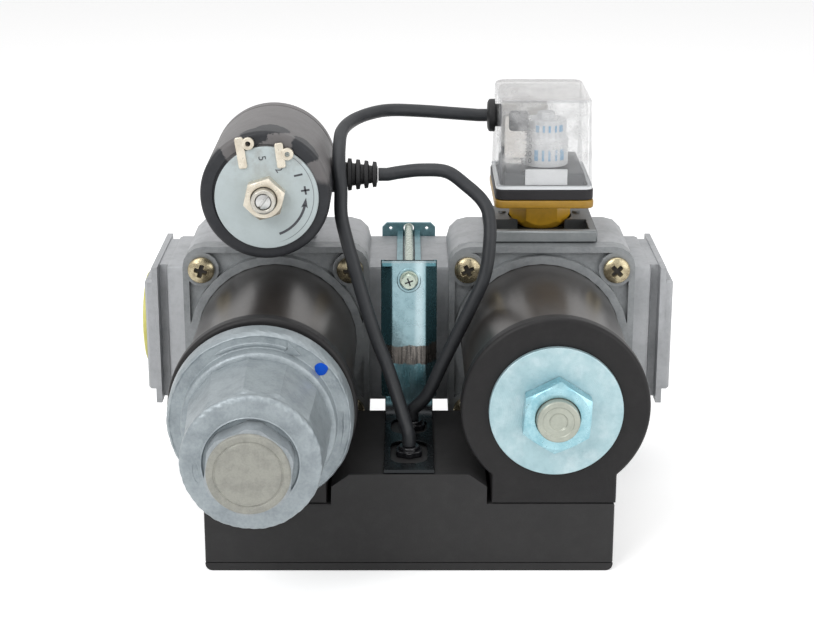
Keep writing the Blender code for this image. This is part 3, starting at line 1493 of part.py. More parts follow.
def switch_base():
    """The pressure switch's yellow base: a plate on a hexagon that is turned down to a thread below."""
    where = (SWITCH_X, SWITCH_Y, 0)
    base = plate(
        "switch_base",
        [switch_outline(0)],
        SWITCH_BASE_THICKNESS,
        (SWITCH_X, SWITCH_Y, SWITCH_BASE_Z),
        UP,
        "mustard_plastic",
    )
    low = BLOCK_BASE + BLOCK_FLOOR + GAP
    corner = hex_radius(NIPPLE_FLATS)
    hexagon = prism(
        "switch_hexagon",
        corner,
        SWITCH_BASE_Z - low + 0.001,
        (SWITCH_X, SWITCH_Y, low),
        UP,
        sides=6,
        turn=math.pi / 6,
    )
    high = SWITCH_BASE_Z + 0.002
    shape = [(0, low), (NIPPLE_TIP_RADIUS, low), (corner, low + NIPPLE_CHAMFER), (corner, high), (0, high)]
    boolean(hexagon, "INTERSECT", turned("hexagon_lathe", shape, where, UP))
    thread = prism(
        "switch_thread",
        THREAD_RADIUS,
        THREAD_LENGTH + low - STATION_TOP + 0.002,
        (SWITCH_X, SWITCH_Y, STATION_TOP - THREAD_LENGTH),
        UP,
    )
    join(base, hexagon, thread)


def switch_gasket():
    outer = switch_outline(0.0003)
    inner = switch_outline(GASKET_WALL, SWITCH_CORNER - 0.0015)
    plate("switch_gasket", [outer, inner], GASKET_THICKNESS, (SWITCH_X, SWITCH_Y, GASKET_Z), UP, "rubber")


def drafted_block(name, where, width, depth, corner, height, draft, top_edge, finish=None):
    """A rounded box that narrows upwards by a draft on every side, with a round top edge."""
    work = bmesh.new()
    layers = [(0.0, 0.0), (height - top_edge, draft)]
    for i in (1, 2):
        angle = math.pi / 2 * i / 2
        layers.append((height - top_edge * (1 - math.sin(angle)), draft + top_edge * (1 - math.cos(angle))))
    loops = []
    for level, inset in layers:
        outline = rounded_rectangle(width - 2 * inset, depth - 2 * inset, corner)
        loops.append([work.verts.new((px, py, level)) for px, py in outline])
    for lower, upper in zip(loops, loops[1:]):
        for i in range(len(lower)):
            j = (i + 1) % len(lower)
            work.faces.new((lower[i], lower[j], upper[j], upper[i]))
    work.faces.new(loops[-1])
    work.faces.new(loops[0][::-1])
    return place(name, mesh_from(name, work), where, UP, finish)


def switch_cover():
    """The clear drafted cover, open below, with the grommet's hole in its left wall."""
    where = (SWITCH_X, SWITCH_Y, COVER_Z)
    width, depth = SWITCH_WIDTH - 2 * COVER_INSET, SWITCH_DEPTH - 2 * COVER_INSET
    cover = drafted_block(
        "switch_cover",
        where,
        width,
        depth,
        SWITCH_CORNER,
        COVER_HEIGHT,
        COVER_DRAFT,
        COVER_TOP_EDGE,
        "clear_plastic",
    )
    wall = COVER_WALL
    hollow = drafted_block(
        "cover_hollow",
        (where[0], where[1], where[2] - 0.001),
        width - 2 * wall,
        depth - 2 * wall,
        SWITCH_CORNER - wall / 2,
        COVER_HEIGHT - wall + 0.001,
        COVER_DRAFT,
        COVER_TOP_EDGE / 2,
    )
    hole = drill("grommet_hole", grommet_place(-0.006), grommet_place(0.004), GROMMET_NECK_RADIUS + GAP)
    cut(cover, hollow, hole)


def grommet_place(outward):
    """A point on the grommet's axis, this far out of the cover's left wall at that height."""
    lean = COVER_DRAFT * GROMMET_RISE / COVER_HEIGHT
    wall_x = SWITCH_X - SWITCH_WIDTH / 2 + COVER_INSET + lean
    return (wall_x - outward, SWITCH_Y, COVER_Z + GROMMET_RISE)


def switch_grommet():
    """The rubber grommet in the cover's left wall, which the switch's lead leaves through."""
    section = [
        (0, -COVER_WALL - 0.0006),
        (GROMMET_NECK_RADIUS, -COVER_WALL - 0.0006),
        (GROMMET_NECK_RADIUS, GAP * 2),
        (GROMMET_RADIUS, GAP * 2),
        (GROMMET_RADIUS, GROMMET_LENGTH - 0.0008),
        (GROMMET_RADIUS - 0.0012, GROMMET_LENGTH),
        (0, GROMMET_LENGTH),
    ]
    turned("switch_grommet", section, grommet_place(0), LEFT, "rubber", ROUND)


def switch_frame():
    """The grey moulding inside the cover: a floor, a cheek on the left and the microswitch behind."""
    half_x = SWITCH_WIDTH / 2 - GASKET_WALL - 2 * GAP
    half_y = SWITCH_DEPTH / 2 - GASKET_WALL - 2 * GAP
    x, y, low = SWITCH_X, SWITCH_Y, GASKET_Z
    floor = COVER_Z + FRAME_HEIGHT
    frame = block(
        "switch_frame",
        (x - half_x, y - half_y, low),
        (x + half_x, y + half_y, floor),
        "grey_plastic",
        0.0008,
        1,
    )
    inner_x, inner_y = half_x - FRAME_STEP, half_y - FRAME_STEP
    cheek = block(
        "frame_cheek",
        (x - inner_x, y - inner_y, low + 0.001),
        (x - DIAL_RADIUS, y - inner_y + 0.010, COVER_Z + FRAME_CHEEK),
    )
    back = block(
        "frame_back",
        (x - inner_x, y + inner_y - FRAME_BACK_DEPTH, low + 0.001),
        (x + half_x * 0.2, y + inner_y, COVER_Z + FRAME_BACK_HEIGHT),
    )
    post = prism("dial_post", DIAL_HUB_RADIUS, 0.002, (x + 0.0015, y - DIAL_AHEAD, floor - 0.001), UP)
    join(frame, cheek, back, post)


def switch_dial():
    """The white setting dial, a drum that turns on the frame's post about an upright axis."""
    x, y = SWITCH_X + 0.0015, SWITCH_Y - DIAL_AHEAD
    low = COVER_Z + FRAME_HEIGHT + 0.001 + GAP
    top = low + DIAL_HEIGHT
    section = [(0, low), (DIAL_RADIUS, low), (DIAL_RADIUS, top - 0.001), (DIAL_RADIUS - 0.001, top)]
    hub_top = top + DIAL_HUB_HEIGHT
    section += [(DIAL_HUB_RADIUS, top), (DIAL_HUB_RADIUS, hub_top), (0, hub_top)]
    dial = turned("switch_dial", section, (x, y, 0), UP, "white_plastic", ROUND)
    half = DIAL_TURN_SLOT / 2
    crown = top + DIAL_HUB_HEIGHT
    cut(
        dial,
        block("dial_slot", (x - 0.006, y - half, crown - 0.0015), (x + 0.006, y + half, crown + 0.001)),
    )


def port_plug():
    """The yellow transport plug in the left port: a domed flange on a hollow spigot."""
    spigot = PORT_RADIUS - GAP
    core = spigot - PLUG_WALL
    section = [
        (0, PLUG_DOME - PLUG_WALL),
        (core, PLUG_DOME - PLUG_WALL - 0.0004),
        (core, -PLUG_SPIGOT),
        (spigot, -PLUG_SPIGOT),
        (spigot, GAP),
        (PLUG_RADIUS, GAP),
        (PLUG_RADIUS, PLUG_RIM - 0.0008),
        (PLUG_RADIUS - 0.0008, PLUG_RIM),
        (0, PLUG_DOME),
    ]
    turned("port_plug", section, (-PORT_X, PIPE_Y, AXIS_Z), LEFT, "yellow_plastic", BROAD)


def smooth_route(points, step):
    """Points along a smooth curve through a route, about one step apart."""
    knots = [Vector(p) for p in points]
    knots = [knots[0] * 2 - knots[1], *knots, knots[-1] * 2 - knots[-2]]
    fine = []
    for a, b, c, d in zip(knots, knots[1:], knots[2:], knots[3:]):
        for i in range(20):
            t = i / 20
            square, cube = (2 * a - 5 * b + 4 * c - d) * t**2, (3 * b - a - 3 * c + d) * t**3
            fine.append((2 * b + (c - a) * t + square + cube) / 2)
    fine.append(Vector(points[-1]))
    length = sum((q - p).length for p, q in zip(fine, fine[1:]))
    spacing = length / round(length / step)
    route, travelled = [fine[0]], 0.0
    for p, q in zip(fine, fine[1:]):
        travelled += (q - p).length
        if travelled >= spacing * len(route) and len(route) < round(length / step):
            route.append(q)
    return route + [fine[-1]]


def leads():
    """The two loose leads, from the pilot's boot and the switch's grommet down to their glands."""
    boot_end = (-BOOT_START + BOOT_LENGTH + GAP, boot_y(), PILOT_AXIS_Z)
    lead("switch", grommet_place(GROMMET_LENGTH + GAP), -LEAD_STRAIGHT, SWITCH_LEAD_ROUTE, "gland_front")
    lead("pilot", boot_end, LEAD_STRAIGHT, PILOT_LEAD_ROUTE, "gland_rear")


def lead(name, start, outward, route, gland):
    """A lead that leaves a piece along X, follows its route and comes straight down on a gland."""
    x, y = GLAND_PLACES[gland]
    route = [(px, py, STATION_TOP + rise) for px, py, rise in route]
    end = (x, y, RISE_TOP + 2 * GAP + GLAND_HEIGHT)
    first = (start[0] + outward, *start[1:])
    last = (x, y, end[2] + LEAD_STRAIGHT)
    tube_along(
        f"lead_{name}", [start, *smooth_route([first, *route, last], LEAD_STEP), end], LEAD_RADIUS, "rubber"
    )


def build():
    valve_body()
    for side in SIDE_NAMES:
        bonnet(side)
        bonnet_screws(side)
        coil(side)
        core_tube(side)
        armature(side)
    coil_washer_and_nut()
    damper()
    terminal_box()
    box_cover()
    terminal_strip()
    front_bracket()
    clamp_bolt()
    rear_bracket()
    glands()
    pilot_body()
    pilot_coil()
    pilot_sleeve()
    lead_boot()
    switch_mount()
    switch_base()
    switch_gasket()
    switch_cover()
    switch_grommet()
    switch_frame()
    switch_dial()
    port_plug()
    leads()


clear_scene()
PARTS = make_collection("double_solenoid_valve")
CUTTERS = make_collection("cutters")
build()
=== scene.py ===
"""Looks of the double solenoid valve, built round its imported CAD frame.

Lengths are metres in the frame's own axes: +X runs along the pipe, -Y is the side that the coils
face and +Z is up.
"""

import logging
import math
from collections.abc import Callable, Sequence
from dataclasses import dataclass, field
from enum import Enum
from functools import cached_property

import bmesh
import bpy
import numpy as np
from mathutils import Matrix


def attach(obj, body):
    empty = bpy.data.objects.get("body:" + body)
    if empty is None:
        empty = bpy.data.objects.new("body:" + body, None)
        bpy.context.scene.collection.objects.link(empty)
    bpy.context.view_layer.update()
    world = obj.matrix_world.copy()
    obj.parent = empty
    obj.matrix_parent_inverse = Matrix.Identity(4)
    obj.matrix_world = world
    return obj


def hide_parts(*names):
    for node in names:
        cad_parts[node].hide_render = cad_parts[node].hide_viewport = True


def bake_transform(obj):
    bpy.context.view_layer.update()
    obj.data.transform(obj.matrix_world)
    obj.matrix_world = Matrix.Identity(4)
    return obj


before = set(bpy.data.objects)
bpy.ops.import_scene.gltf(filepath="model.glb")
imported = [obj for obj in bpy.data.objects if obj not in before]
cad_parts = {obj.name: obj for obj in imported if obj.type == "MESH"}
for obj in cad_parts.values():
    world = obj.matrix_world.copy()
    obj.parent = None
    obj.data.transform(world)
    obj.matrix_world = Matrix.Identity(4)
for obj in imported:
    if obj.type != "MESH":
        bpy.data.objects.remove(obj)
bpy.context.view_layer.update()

LOG = logging.getLogger("double_solenoid_valve")

Array = np.ndarray
Point = tuple[float, float, float]
Colour = tuple[float, float, float]
Shape = Callable[[Array, Array, Array], tuple[Array, Array]]

TURN = 2 * math.pi


class Body(Enum):
    """The rigid bodies of the frame that pieces ride on."""

    VALVE = "valve"
    LEFT_ARMATURE = "armature_left"
    RIGHT_ARMATURE = "armature_right"
    PILOT_ARMATURE = "pilot_armature"
    DAMPER = "damper"
    REGULATOR = "regulator"
    DIAL = "dial"


class Side(Enum):
    """The two stations, with the sign of their X."""

    LEFT = -1
    RIGHT = 1

    @property
    def label(self) -> str:
        """The side's name in the frame's node names."""
        return self.name.lower()


# Shader toolkit


class Sock:
    """A shader socket that takes part in Python expressions."""

    def __init__(self, graph: "Graph", socket: bpy.types.NodeSocket) -> None:
        """Wrap one output socket of a graph's node."""
        self.graph = graph
        self.socket = socket

    def __add__(self, other: "Sock | float") -> "Sock":
        """Sum of two values."""
        return self.graph.maths("ADD", self, other)

    def __sub__(self, other: "Sock | float") -> "Sock":
        """Difference of two values."""
        return self.graph.maths("SUBTRACT", self, other)

    def __rsub__(self, other: float) -> "Sock":
        """Difference with the number on the left."""
        return self.graph.maths("SUBTRACT", other, self)

    def __mul__(self, other: "Sock | float") -> "Sock":
        """Product of two values."""
        return self.graph.maths("MULTIPLY", self, other)

    def __pow__(self, other: "Sock | float") -> "Sock":
        """Power of two values."""
        return self.graph.maths("POWER", self, other)

    __radd__ = __add__
    __rmul__ = __mul__

    def step(self, start: float, end: float) -> "Sock":
        """Rise smoothly from 0 at start to 1 at end.

        Args:
            start: The value at which the result leaves 0.
            end: The value at which it reaches 1, which may lie below start.

        Returns:
            The eased value.
        """
        if start > end:
            return 1.0 - self.step(end, start)
        return self.graph.node(
            "ShaderNodeMapRange",
            {"interpolation_type": "SMOOTHSTEP"},
            {"Value": self, "From Min": start, "From Max": end},
        )

    def greatest(self, other: "Sock | float") -> "Sock":
        """The larger of two values."""
        return self.graph.maths("MAXIMUM", self, other)

    def size(self) -> "Sock":
        """The value without its sign."""
        return self.graph.maths("ABSOLUTE", self)


class Graph:
    """The node tree of a material or of the world, built from expressions."""

    def __init__(self, name: str, tree: bpy.types.NodeTree | None = None) -> None:
        """Start an empty material of this name, or empty the tree that is given.

        Args:
            name: The material's name.
            tree: A node tree to fill in its place.
        """
        if tree is None:
            self.material = bpy.data.materials.new(name)
            self.material.use_nodes = True
            tree = self.material.node_tree
        self.tree = tree
        tree.nodes.clear()

    @cached_property
    def coordinates(self) -> Sock:
        """The object coordinates."""
        return self.node("ShaderNodeTexCoord", output="Object")

    def node(
        self,
        kind: str,
        settings: dict[str, object] | None = None,
        inputs: dict[str | int, object] | None = None,
        output: str | int = 0,
    ) -> Sock:
        """Add one node.

        Args:
            kind: The node's type.
            settings: Attributes that are set first.
            inputs: Values or links of the node's sockets.
            output: The socket to hand back.

        Returns:
            The wrapped output socket.
        """
        made = self.tree.nodes.new(kind)
        for key, value in (settings or {}).items():
            setattr(made, key, value)
        for key, value in (inputs or {}).items():
            if isinstance(value, Sock):
                self.tree.links.new(value.socket, made.inputs[key])
            else:
                made.inputs[key].default_value = value
        return Sock(self, made.outputs[output]) if len(made.outputs) else None

    def maths(self, operation: str, *values: "Sock | float") -> Sock:
        """One Math node."""
        return self.node("ShaderNodeMath", {"operation": operation}, dict(enumerate(values)))

    def split(self) -> tuple[Sock, Sock, Sock]:
        """The object coordinates x, y and z as separate values, in metres."""
        kind, inputs = "ShaderNodeSeparateXYZ", {0: self.coordinates}
        return tuple(self.node(kind, inputs=inputs, output=axis) for axis in "XYZ")

    def seen(self) -> Sock:
        """1 for rays from the camera, mirror-like ones and those through clear pieces, else 0.

        Returns:
            The value.
        """
        kinds = ("Camera", "Glossy", "Transmission")
        rays = [self.node("ShaderNodeLightPath", output=f"Is {kind} Ray") for kind in kinds]
        return rays[0].greatest(rays[1]).greatest(rays[2])

    def noise(
        self, size: float, detail: float = 3.0, rough: float = 0.55, stretch: Point = (1, 1, 1)
    ) -> Sock:
        """Smooth noise from 0 to 1.

        Args:
            size: Width of its largest features, in metres.
            detail: Number of finer layers.
            rough: Share of the finer layers.
            stretch: Factors by which the features are drawn out along each axis.

        Returns:
            The noise value.
        """
        scale = tuple(1 / factor for factor in stretch)
        vector = self.node("ShaderNodeMapping", inputs={0: self.coordinates, "Scale": scale})
        inputs = {"Vector": vector, "Scale": 1 / size, "Detail": detail, "Roughness": rough}
        return self.node("ShaderNodeTexNoise", inputs=inputs)

    def mix(self, low: "Sock | Colour", high: "Sock | Colour", factor: "Sock | float") -> Sock:
        """Blend two colours."""
        first, second = (c if isinstance(c, Sock) else (*c, 1.0) for c in (low, high))
        return self.node("ShaderNodeMix", {"data_type": "RGBA"}, {0: factor, 6: first, 7: second}, 2)

    def bump(self, height: Sock, distance: float, under: Sock | None = None) -> Sock:
        """Tilt the surface by a height value that is 1 for each distance in metres.

        Args:
            height: The height value.
            distance: Its full height in metres.
            under: A normal that it adds to.

        Returns:
            The bent normal.
        """
        inputs = {"Height": height, "Distance": distance, "Strength": 1.0}
        if under is not None:
            inputs["Normal"] = under
        return self.node("ShaderNodeBump", inputs=inputs)

    def surface(self, **inputs: object) -> bpy.types.Material:
        """Close the graph with a Principled shader.

        Args:
            inputs: Its sockets, with underscores for spaces.

        Returns:
            The finished material.
        """
        sockets = {key.replace("_", " "): value for key, value in inputs.items()}
        shader = self.node("ShaderNodeBsdfPrincipled", inputs=sockets)
        self.node("ShaderNodeOutputMaterial", inputs={"Surface": shader})
        return self.material


MATERIALS: dict[str, bpy.types.Material] = {}


@dataclass(frozen=True)
class Finish:
    """The plain way in which a surface is finished.

    Attributes:
        name: The material's name.
        slot: Name of the material slot that it stands for; not used.
        colour: Main colour.
        patch: Second colour, laid over the first in soft patches.
        patch_size: Width of the patches, in metres.
        patch_share: How strongly they show.
        roughness: Middle roughness.
        uneven: How far the roughness strays to each side.
        metallic: Share of metal in the surface.
        grain: Width of the surface's grain, in metres.
        grain_depth: Height of the grain, in metres.
        dent: Width of its broader unevenness, in metres.
        dent_depth: Height of that unevenness, in metres.
        coat: Weight of a clear coat.
        dust: How much pale dust lies on it in small clouds.
        dust_colour: The dust's colour.
        stretch: Factors by which patches and grain are drawn out along each axis.
        specular: Strength of its plain reflection.
    """

    name: str
    slot: str
    colour: Colour
    patch: Colour = (0.5, 0.5, 0.5)
    patch_size: float = 0.02
    patch_share: float = 0.3
    roughness: float = 0.5
    uneven: float = 0.08
    metallic: float = 0.0
    grain: float = 0.0006
    grain_depth: float = 0.00004
    dent: float = 0.008
    dent_depth: float = 0.0
    coat: float = 0.0
    dust: float = 0.0
    dust_colour: Colour = (0.4, 0.39, 0.37)
    stretch: Point = (1, 1, 1)
    specular: float = 0.5

    def material(self) -> bpy.types.Material:
        """The finish as a material, made once.

        Returns:
            The material.
        """
        if self.name not in MATERIALS:
            MATERIALS[self.name] = self.build(Graph(self.name))
        return MATERIALS[self.name]

    def tint(self, graph: Graph) -> Sock:
        """Colour over the surface: patches of the second colour at two sizes, then dust.

        Args:
            graph: The material's nodes.

        Returns:
            The colour.
        """
        broad = graph.noise(self.patch_size, 4.0, 0.6, self.stretch).step(0.4, 0.66)
        fine = graph.noise(self.patch_size / 7, 3.0, 0.6, self.stretch).step(0.38, 0.68)
        share = (broad * 0.65 + fine * 0.35) * self.patch_share
        colour = graph.mix(self.colour, self.patch, share)
        if self.dust:
            clouds = graph.noise(0.009, 5.0, 0.7).step(0.42, 0.75)
            colour = graph.mix(colour, self.dust_colour, clouds * self.dust)
        return colour

    def gloss(self, graph: Graph) -> Sock:
        """Roughness over the surface: the middle value with smears to both sides."""
        smear = graph.noise(self.patch_size / 2, 4.0, 0.65, self.stretch)
        return smear * (2 * self.uneven) + (self.roughness - self.uneven)

    def relief(self, graph: Graph) -> Sock:
        """Bump: a fine grain over broader dents.

        Args:
            graph: The material's nodes.

        Returns:
            The bent normal.
        """
        fine = graph.bump(graph.noise(self.grain, 2.0, 0.5, self.stretch), self.grain_depth)
        if not self.dent_depth:
            return fine
        return graph.bump(graph.noise(self.dent, 3.0, 0.5), self.dent_depth, fine)

    def build(self, graph: Graph) -> bpy.types.Material:
        """Join colour, gloss and relief in one surface.

        Args:
            graph: The material's nodes.

        Returns:
            The material.
        """
        return graph.surface(
            Base_Color=self.tint(graph),
            Roughness=self.gloss(graph),
            Metallic=self.metallic,
            Specular_IOR_Level=self.specular,
            Coat_Weight=self.coat,
            Coat_Roughness=0.25,
            Normal=self.relief(graph),
        )


@dataclass(frozen=True)
class TurnedMetal(Finish):
    """Metal with the fine rings that a lathe leaves round a front-facing axis.

    Attributes:
        centre: X and Z of that axis.
        pitch: Distance from ring to ring, in metres.
        ring_depth: Height of the rings, in metres.
    """

    centre: tuple[float, float] = (0.0, 0.0)
    pitch: float = 0.0005
    ring_depth: float = 0.000012

    def relief(self, graph: Graph) -> Sock:
        """Bump: rings, as a sine of the distance from the axis, over the plain grain.

        Args:
            graph: The material's nodes.

        Returns:
            The bent normal.
        """
        x, _, z = graph.split()
        away = ((x - self.centre[0]) ** 2.0 + (z - self.centre[1]) ** 2.0) ** 0.5
        waver = graph.noise(0.004, 2.0) * 2.0
        rings = graph.maths("SINE", away * (TURN / self.pitch) + waver)
        return graph.bump(rings, self.ring_depth, super().relief(graph))


@dataclass(frozen=True)
class BandedZinc(Finish):
    """Zinc plating of a bent sheet, whose lower part is painted dark with the shade and the reflection of
    the dark pieces round it.

    Attributes:
        deep: Colour of the painted shade on the lower part.
        band: Colour of the narrow band of painted reflection between the two.
        band_z: Heights at which the band starts and ends.
    """

    deep: Colour = (0.078, 0.2, 0.235)
    band: Colour = (0.24, 0.22, 0.2)
    band_z: tuple[float, float] = (0.0685, 0.077)

    def tint(self, graph: Graph) -> Sock:
        """Plain plating with a painted highlight line and painted shade on its sides above the streaked
        band of painted reflection, deeper painted shade below it, and near-black painted shade at the foot.

        Args:
            graph: The material's nodes.

        Returns:
            The colour.
        """
        x, _, z = graph.split()
        low, high = self.band_z
        level = z + (graph.noise(0.003, 4.0, 0.7) - 0.5) * 0.004
        # Painted shade on the sheet's bent-back sides.
        side_shade = x.size().step(0.0066, 0.0082)
        # Painted highlight: a pale line down the face.
        sheen = (x - 0.0046).size().step(0.003, 0.0004) * 0.6
        plain = graph.mix(super().tint(graph), (0.56, 0.7, 0.74), sheen)
        upper = graph.mix(plain, self.deep, side_shade)
        streaks = graph.noise(0.0016, 3.0, 0.6, (0.6, 1.0, 9.0)).step(0.38, 0.62)
        # The band is a painted reflection, streaked dark.
        band = graph.mix(self.band, (0.075, 0.07, 0.066), streaks)
        # The lower part is painted shade, lighter along the streaks and near its top, away from the sides.
        light = streaks * 0.3 + level.step(0.062, 0.054) * 0.35 * (1.0 - side_shade)
        lower = graph.mix(self.deep, self.colour, light)
        above = graph.mix(band, upper, level.step(high, high + 0.0005))
        colour = graph.mix(lower, above, level.step(low, low + 0.0005))
        # Painted shade: near-black at the foot, under the coils.
        return graph.mix((0.016, 0.018, 0.02), colour, z.step(0.0485, 0.0515))


@dataclass(frozen=True)
class PocketMetal(Finish):
    """Milled metal with painted shade in the pocket below its rim, and a paler band along the rim.

    Attributes:
        rim: Height of the rim.
        front: Y of the block's front face.
    """

    rim: float = 0.1262
    front: float = 0.0535

    def tint(self, graph: Graph) -> Sock:
        """The plain colour, with painted shade inside behind the front wall, and paler along the rim.

        Args:
            graph: The material's nodes.

        Returns:
            The colour.
        """
        _, y, z = graph.split()
        # Painted shade in the pocket behind the front wall.
        sunk = z.step(self.rim - 0.0004, self.rim - 0.0012)
        pocket = sunk * y.step(self.front + 0.0008, self.front + 0.0016)
        colour = graph.mix(super().tint(graph), (0.055, 0.057, 0.058), pocket * 0.85)
        return graph.mix(colour, (0.5, 0.52, 0.53), z.step(self.rim - 0.0005, self.rim - 0.0001) * 0.2)


@dataclass(frozen=True)
class ScaledDisc(Finish):
    """The pilot's pale disc, with a thin grey line just inside its rim.

    Attributes:
        centre: X and Z of the disc's axis.
        line_radius: Radius of the line.
    """

    centre: tuple[float, float] = (-0.06, 0.1519)
    line_radius: float = 0.0204

    def tint(self, graph: Graph) -> Sock:
        """The plain colour with the line drawn on it and darker patches towards the top.

        Args:
            graph: The material's nodes.

        Returns:
            The colour.
        """
        x, _, z = graph.split()
        across, up = x - self.centre[0], z - self.centre[1]
        away = (across**2.0 + up**2.0) ** 0.5
        line = (away - self.line_radius).size().step(0.00022, 0.0001) * across.step(0.004, 0.012)
        darkening = graph.noise(0.005, 4.0, 0.65).step(0.42, 0.72) * up.step(0.002, 0.019)
        patched = graph.mix(super().tint(graph), (0.24, 0.22, 0.2), darkening * 0.45)
        return graph.mix(patched, (0.12, 0.13, 0.14), line * 0.8)


@dataclass(frozen=True)
class ScuffedClear(Finish):
    """Clear plastic that years of handling have made milky in places.

    Attributes:
        haze: Opacity of the clear places.
        milk: Opacity of the milky ones.
        low: Height of the cover's lower rim.
        middle: Plan place of the cover's middle.
        half: Half its width and depth.
    """

    haze: float = 0.12
    milk: float = 0.42
    low: float = 0.14
    middle: tuple[float, float] = (0.0611, 0.083)
    half: tuple[float, float] = (0.0214, 0.0269)

    def build(self, graph: Graph) -> bpy.types.Material:
        """Opacity follows soft clouds, and is full along the moulded lower rim.

        Args:
            graph: The material's nodes.

        Returns:
            The material.
        """
        x, y, z = graph.split()
        cloud = graph.noise(0.014, 5.0, 0.65, (1.0, 1.0, 0.7)).step(0.42, 0.68) * z.step(0.1475, 0.154)
        rim = z.step(self.low + 0.0018, self.low + 0.001)
        crown = z.step(0.1792, 0.1804)
        side = (x - self.middle[0]).size().step(self.half[0] - 0.0028, self.half[0] - 0.0014)
        corner = side * (y - self.middle[1]).size().step(self.half[1] - 0.0036, self.half[1] - 0.0018)
        edge = corner.greatest((z - 0.1798).size().step(0.0009, 0.0003))
        veil = cloud * (self.milk - self.haze) + self.haze
        alpha = veil.greatest(rim * 0.85).greatest(crown * 0.55).greatest(edge * 0.42)
        smudge = graph.noise(0.006, 4.0, 0.7).step(0.5, 0.72) * crown
        tone = graph.mix(graph.mix(self.colour, self.patch, cloud), (0.33, 0.315, 0.31), crown * 0.8)
        tone = graph.mix(graph.mix(tone, (0.34, 0.35, 0.37), edge * 0.8), (0.8, 0.82, 0.84), rim)
        return graph.surface(
            Base_Color=graph.mix(tone, (0.25, 0.2, 0.18), smudge * 0.6),
            Roughness=self.gloss(graph),
            Alpha=alpha,
            IOR=1.45,
            Normal=self.relief(graph),
        )


@dataclass(frozen=True)
class SplitPlastic(Finish):
    """Dark moulding that carries a pale plate above a level.

    Attributes:
        pale: Colour of the plate.
        level: Height at which it starts.
    """

    pale: Colour = (0.74, 0.72, 0.69)
    level: float = 0.1512

    def tint(self, graph: Graph) -> Sock:
        """The plain colour below the level and the plate's above it.

        Args:
            graph: The material's nodes.

        Returns:
            The colour.
        """
        height = graph.split()[2] + (graph.noise(0.006, 2.0) - 0.5) * 0.003
        plain = super().tint(graph)
        return graph.mix(plain, self.pale, height.step(self.level - 0.0008, self.level + 0.0008))


@dataclass(frozen=True)
class PaintedSheenPlastic(Finish):
    """Black moulding with a painted grey sheen over its top, with oily blots by its front edge.

    Attributes:
        sheen_grey: The grey.
        centre_z: Height of the moulding's axis.
        reach: Height above the axis at which the grey is full.
        blots: Middle and size of each blot.
    """

    sheen_grey: Colour = (0.15, 0.142, 0.142)
    centre_z: float = 0.1519
    reach: float = 0.017
    blots: tuple[tuple[float, float, float, float], ...] = (
        (-0.064, -0.002, 0.1785, 0.0062),
        (-0.057, 0.003, 0.1785, 0.0072),
        (-0.0425, -0.002, 0.172, 0.007),
        (-0.082, -0.002, 0.166, 0.0066),
    )

    def tint(self, graph: Graph) -> Sock:
        """The plain colour, with a painted grey sheen laid on from above with a ragged lower edge.

        Args:
            graph: The material's nodes.

        Returns:
            The colour.
        """
        x, y, z = graph.split()
        ragged = (graph.noise(0.009, 4.0, 0.6, (1.0, 1.0, 1.0)) - 0.5) * 0.008
        rise = z - self.centre_z + ragged + (x + 0.06) * 0.15
        # Share of the painted sheen, rising towards the top.
        share = rise.step(self.reach * 0.45, self.reach * 0.7)
        edge = (graph.noise(0.004, 4.0, 0.65) - 0.5) * 0.006
        blot = share * 0.0
        for middle_x, middle_y, middle_z, size in self.blots:
            away = ((x - middle_x) ** 2.0 + (y - middle_y) ** 2.0 + (z - middle_z) ** 2.0) ** 0.5 + edge
            blot = blot.greatest(away.step(size + 0.0004, size - 0.0004))
        return graph.mix(super().tint(graph), self.sheen_grey, share * (1.0 - blot) * 0.9)


CAST = Finish(
    "cast_aluminium", "alu", (0.42, 0.43, 0.445), (0.29, 0.3, 0.31), 0.014, 0.7, 0.5, 0.09, 0.2, 0.001,
    0.00012, 0.01, 0.00026,
)
BONNET_CAST = Finish(
    "bonnet_casting", "alu", (0.275, 0.289, 0.298), (0.165, 0.175, 0.182), 0.012, 0.7, 0.44, 0.1, 0.3,
    0.0009, 0.0001, 0.008, 0.00022,
)
MACHINED = PocketMetal(
    "machined_aluminium", "alu", (0.25, 0.265, 0.27), (0.17, 0.185, 0.19), 0.01, 0.5, 0.38, 0.08, 0.35,
    0.0005, 0.00002,
)
DAMPER_CAST = Finish(
    "damper_casting", "die_cast", (0.315, 0.355, 0.375), (0.2, 0.23, 0.25), 0.009, 0.8, 0.42, 0.1, 0.35,
    0.0011, 0.00012, 0.005, 0.00026,
)
HEXAGON_CAST = Finish(
    "cap_hexagon_casting", "die_cast", (0.33, 0.36, 0.38), (0.22, 0.245, 0.262), 0.006, 0.8, 0.38, 0.1,
    0.35, 0.0011, 0.0001, 0.004, 0.0002,
)
CAP_CAST = Finish(
    "damper_cap_casting", "die_cast", (0.3, 0.3, 0.265), (0.205, 0.205, 0.185), 0.005, 0.8, 0.5, 0.1,
    0.12, 0.0012, 0.00018, 0.004, 0.00026,
)
SHELL = Finish(
    "coil_lacquer", "shell", (0.036, 0.031, 0.028), (0.064, 0.056, 0.05), 0.03, 0.6, 0.3, 0.06, 0.35,
    0.001, 0.00002, 0.012, 0.00006, 0.25, 0.0, (0.4, 0.39, 0.37), (1.0, 4.0, 1.0),
)
BLACK = Finish(
    "black_moulding", "black_plastic", (0.024, 0.0235, 0.024), (0.032, 0.031, 0.031), 0.03, 0.5, 0.5,
    0.06, 0.0, 0.0007, 0.00005, 0.01, 0.00008, 0.0, 0.12, (0.06, 0.06, 0.06), specular=0.22,
)
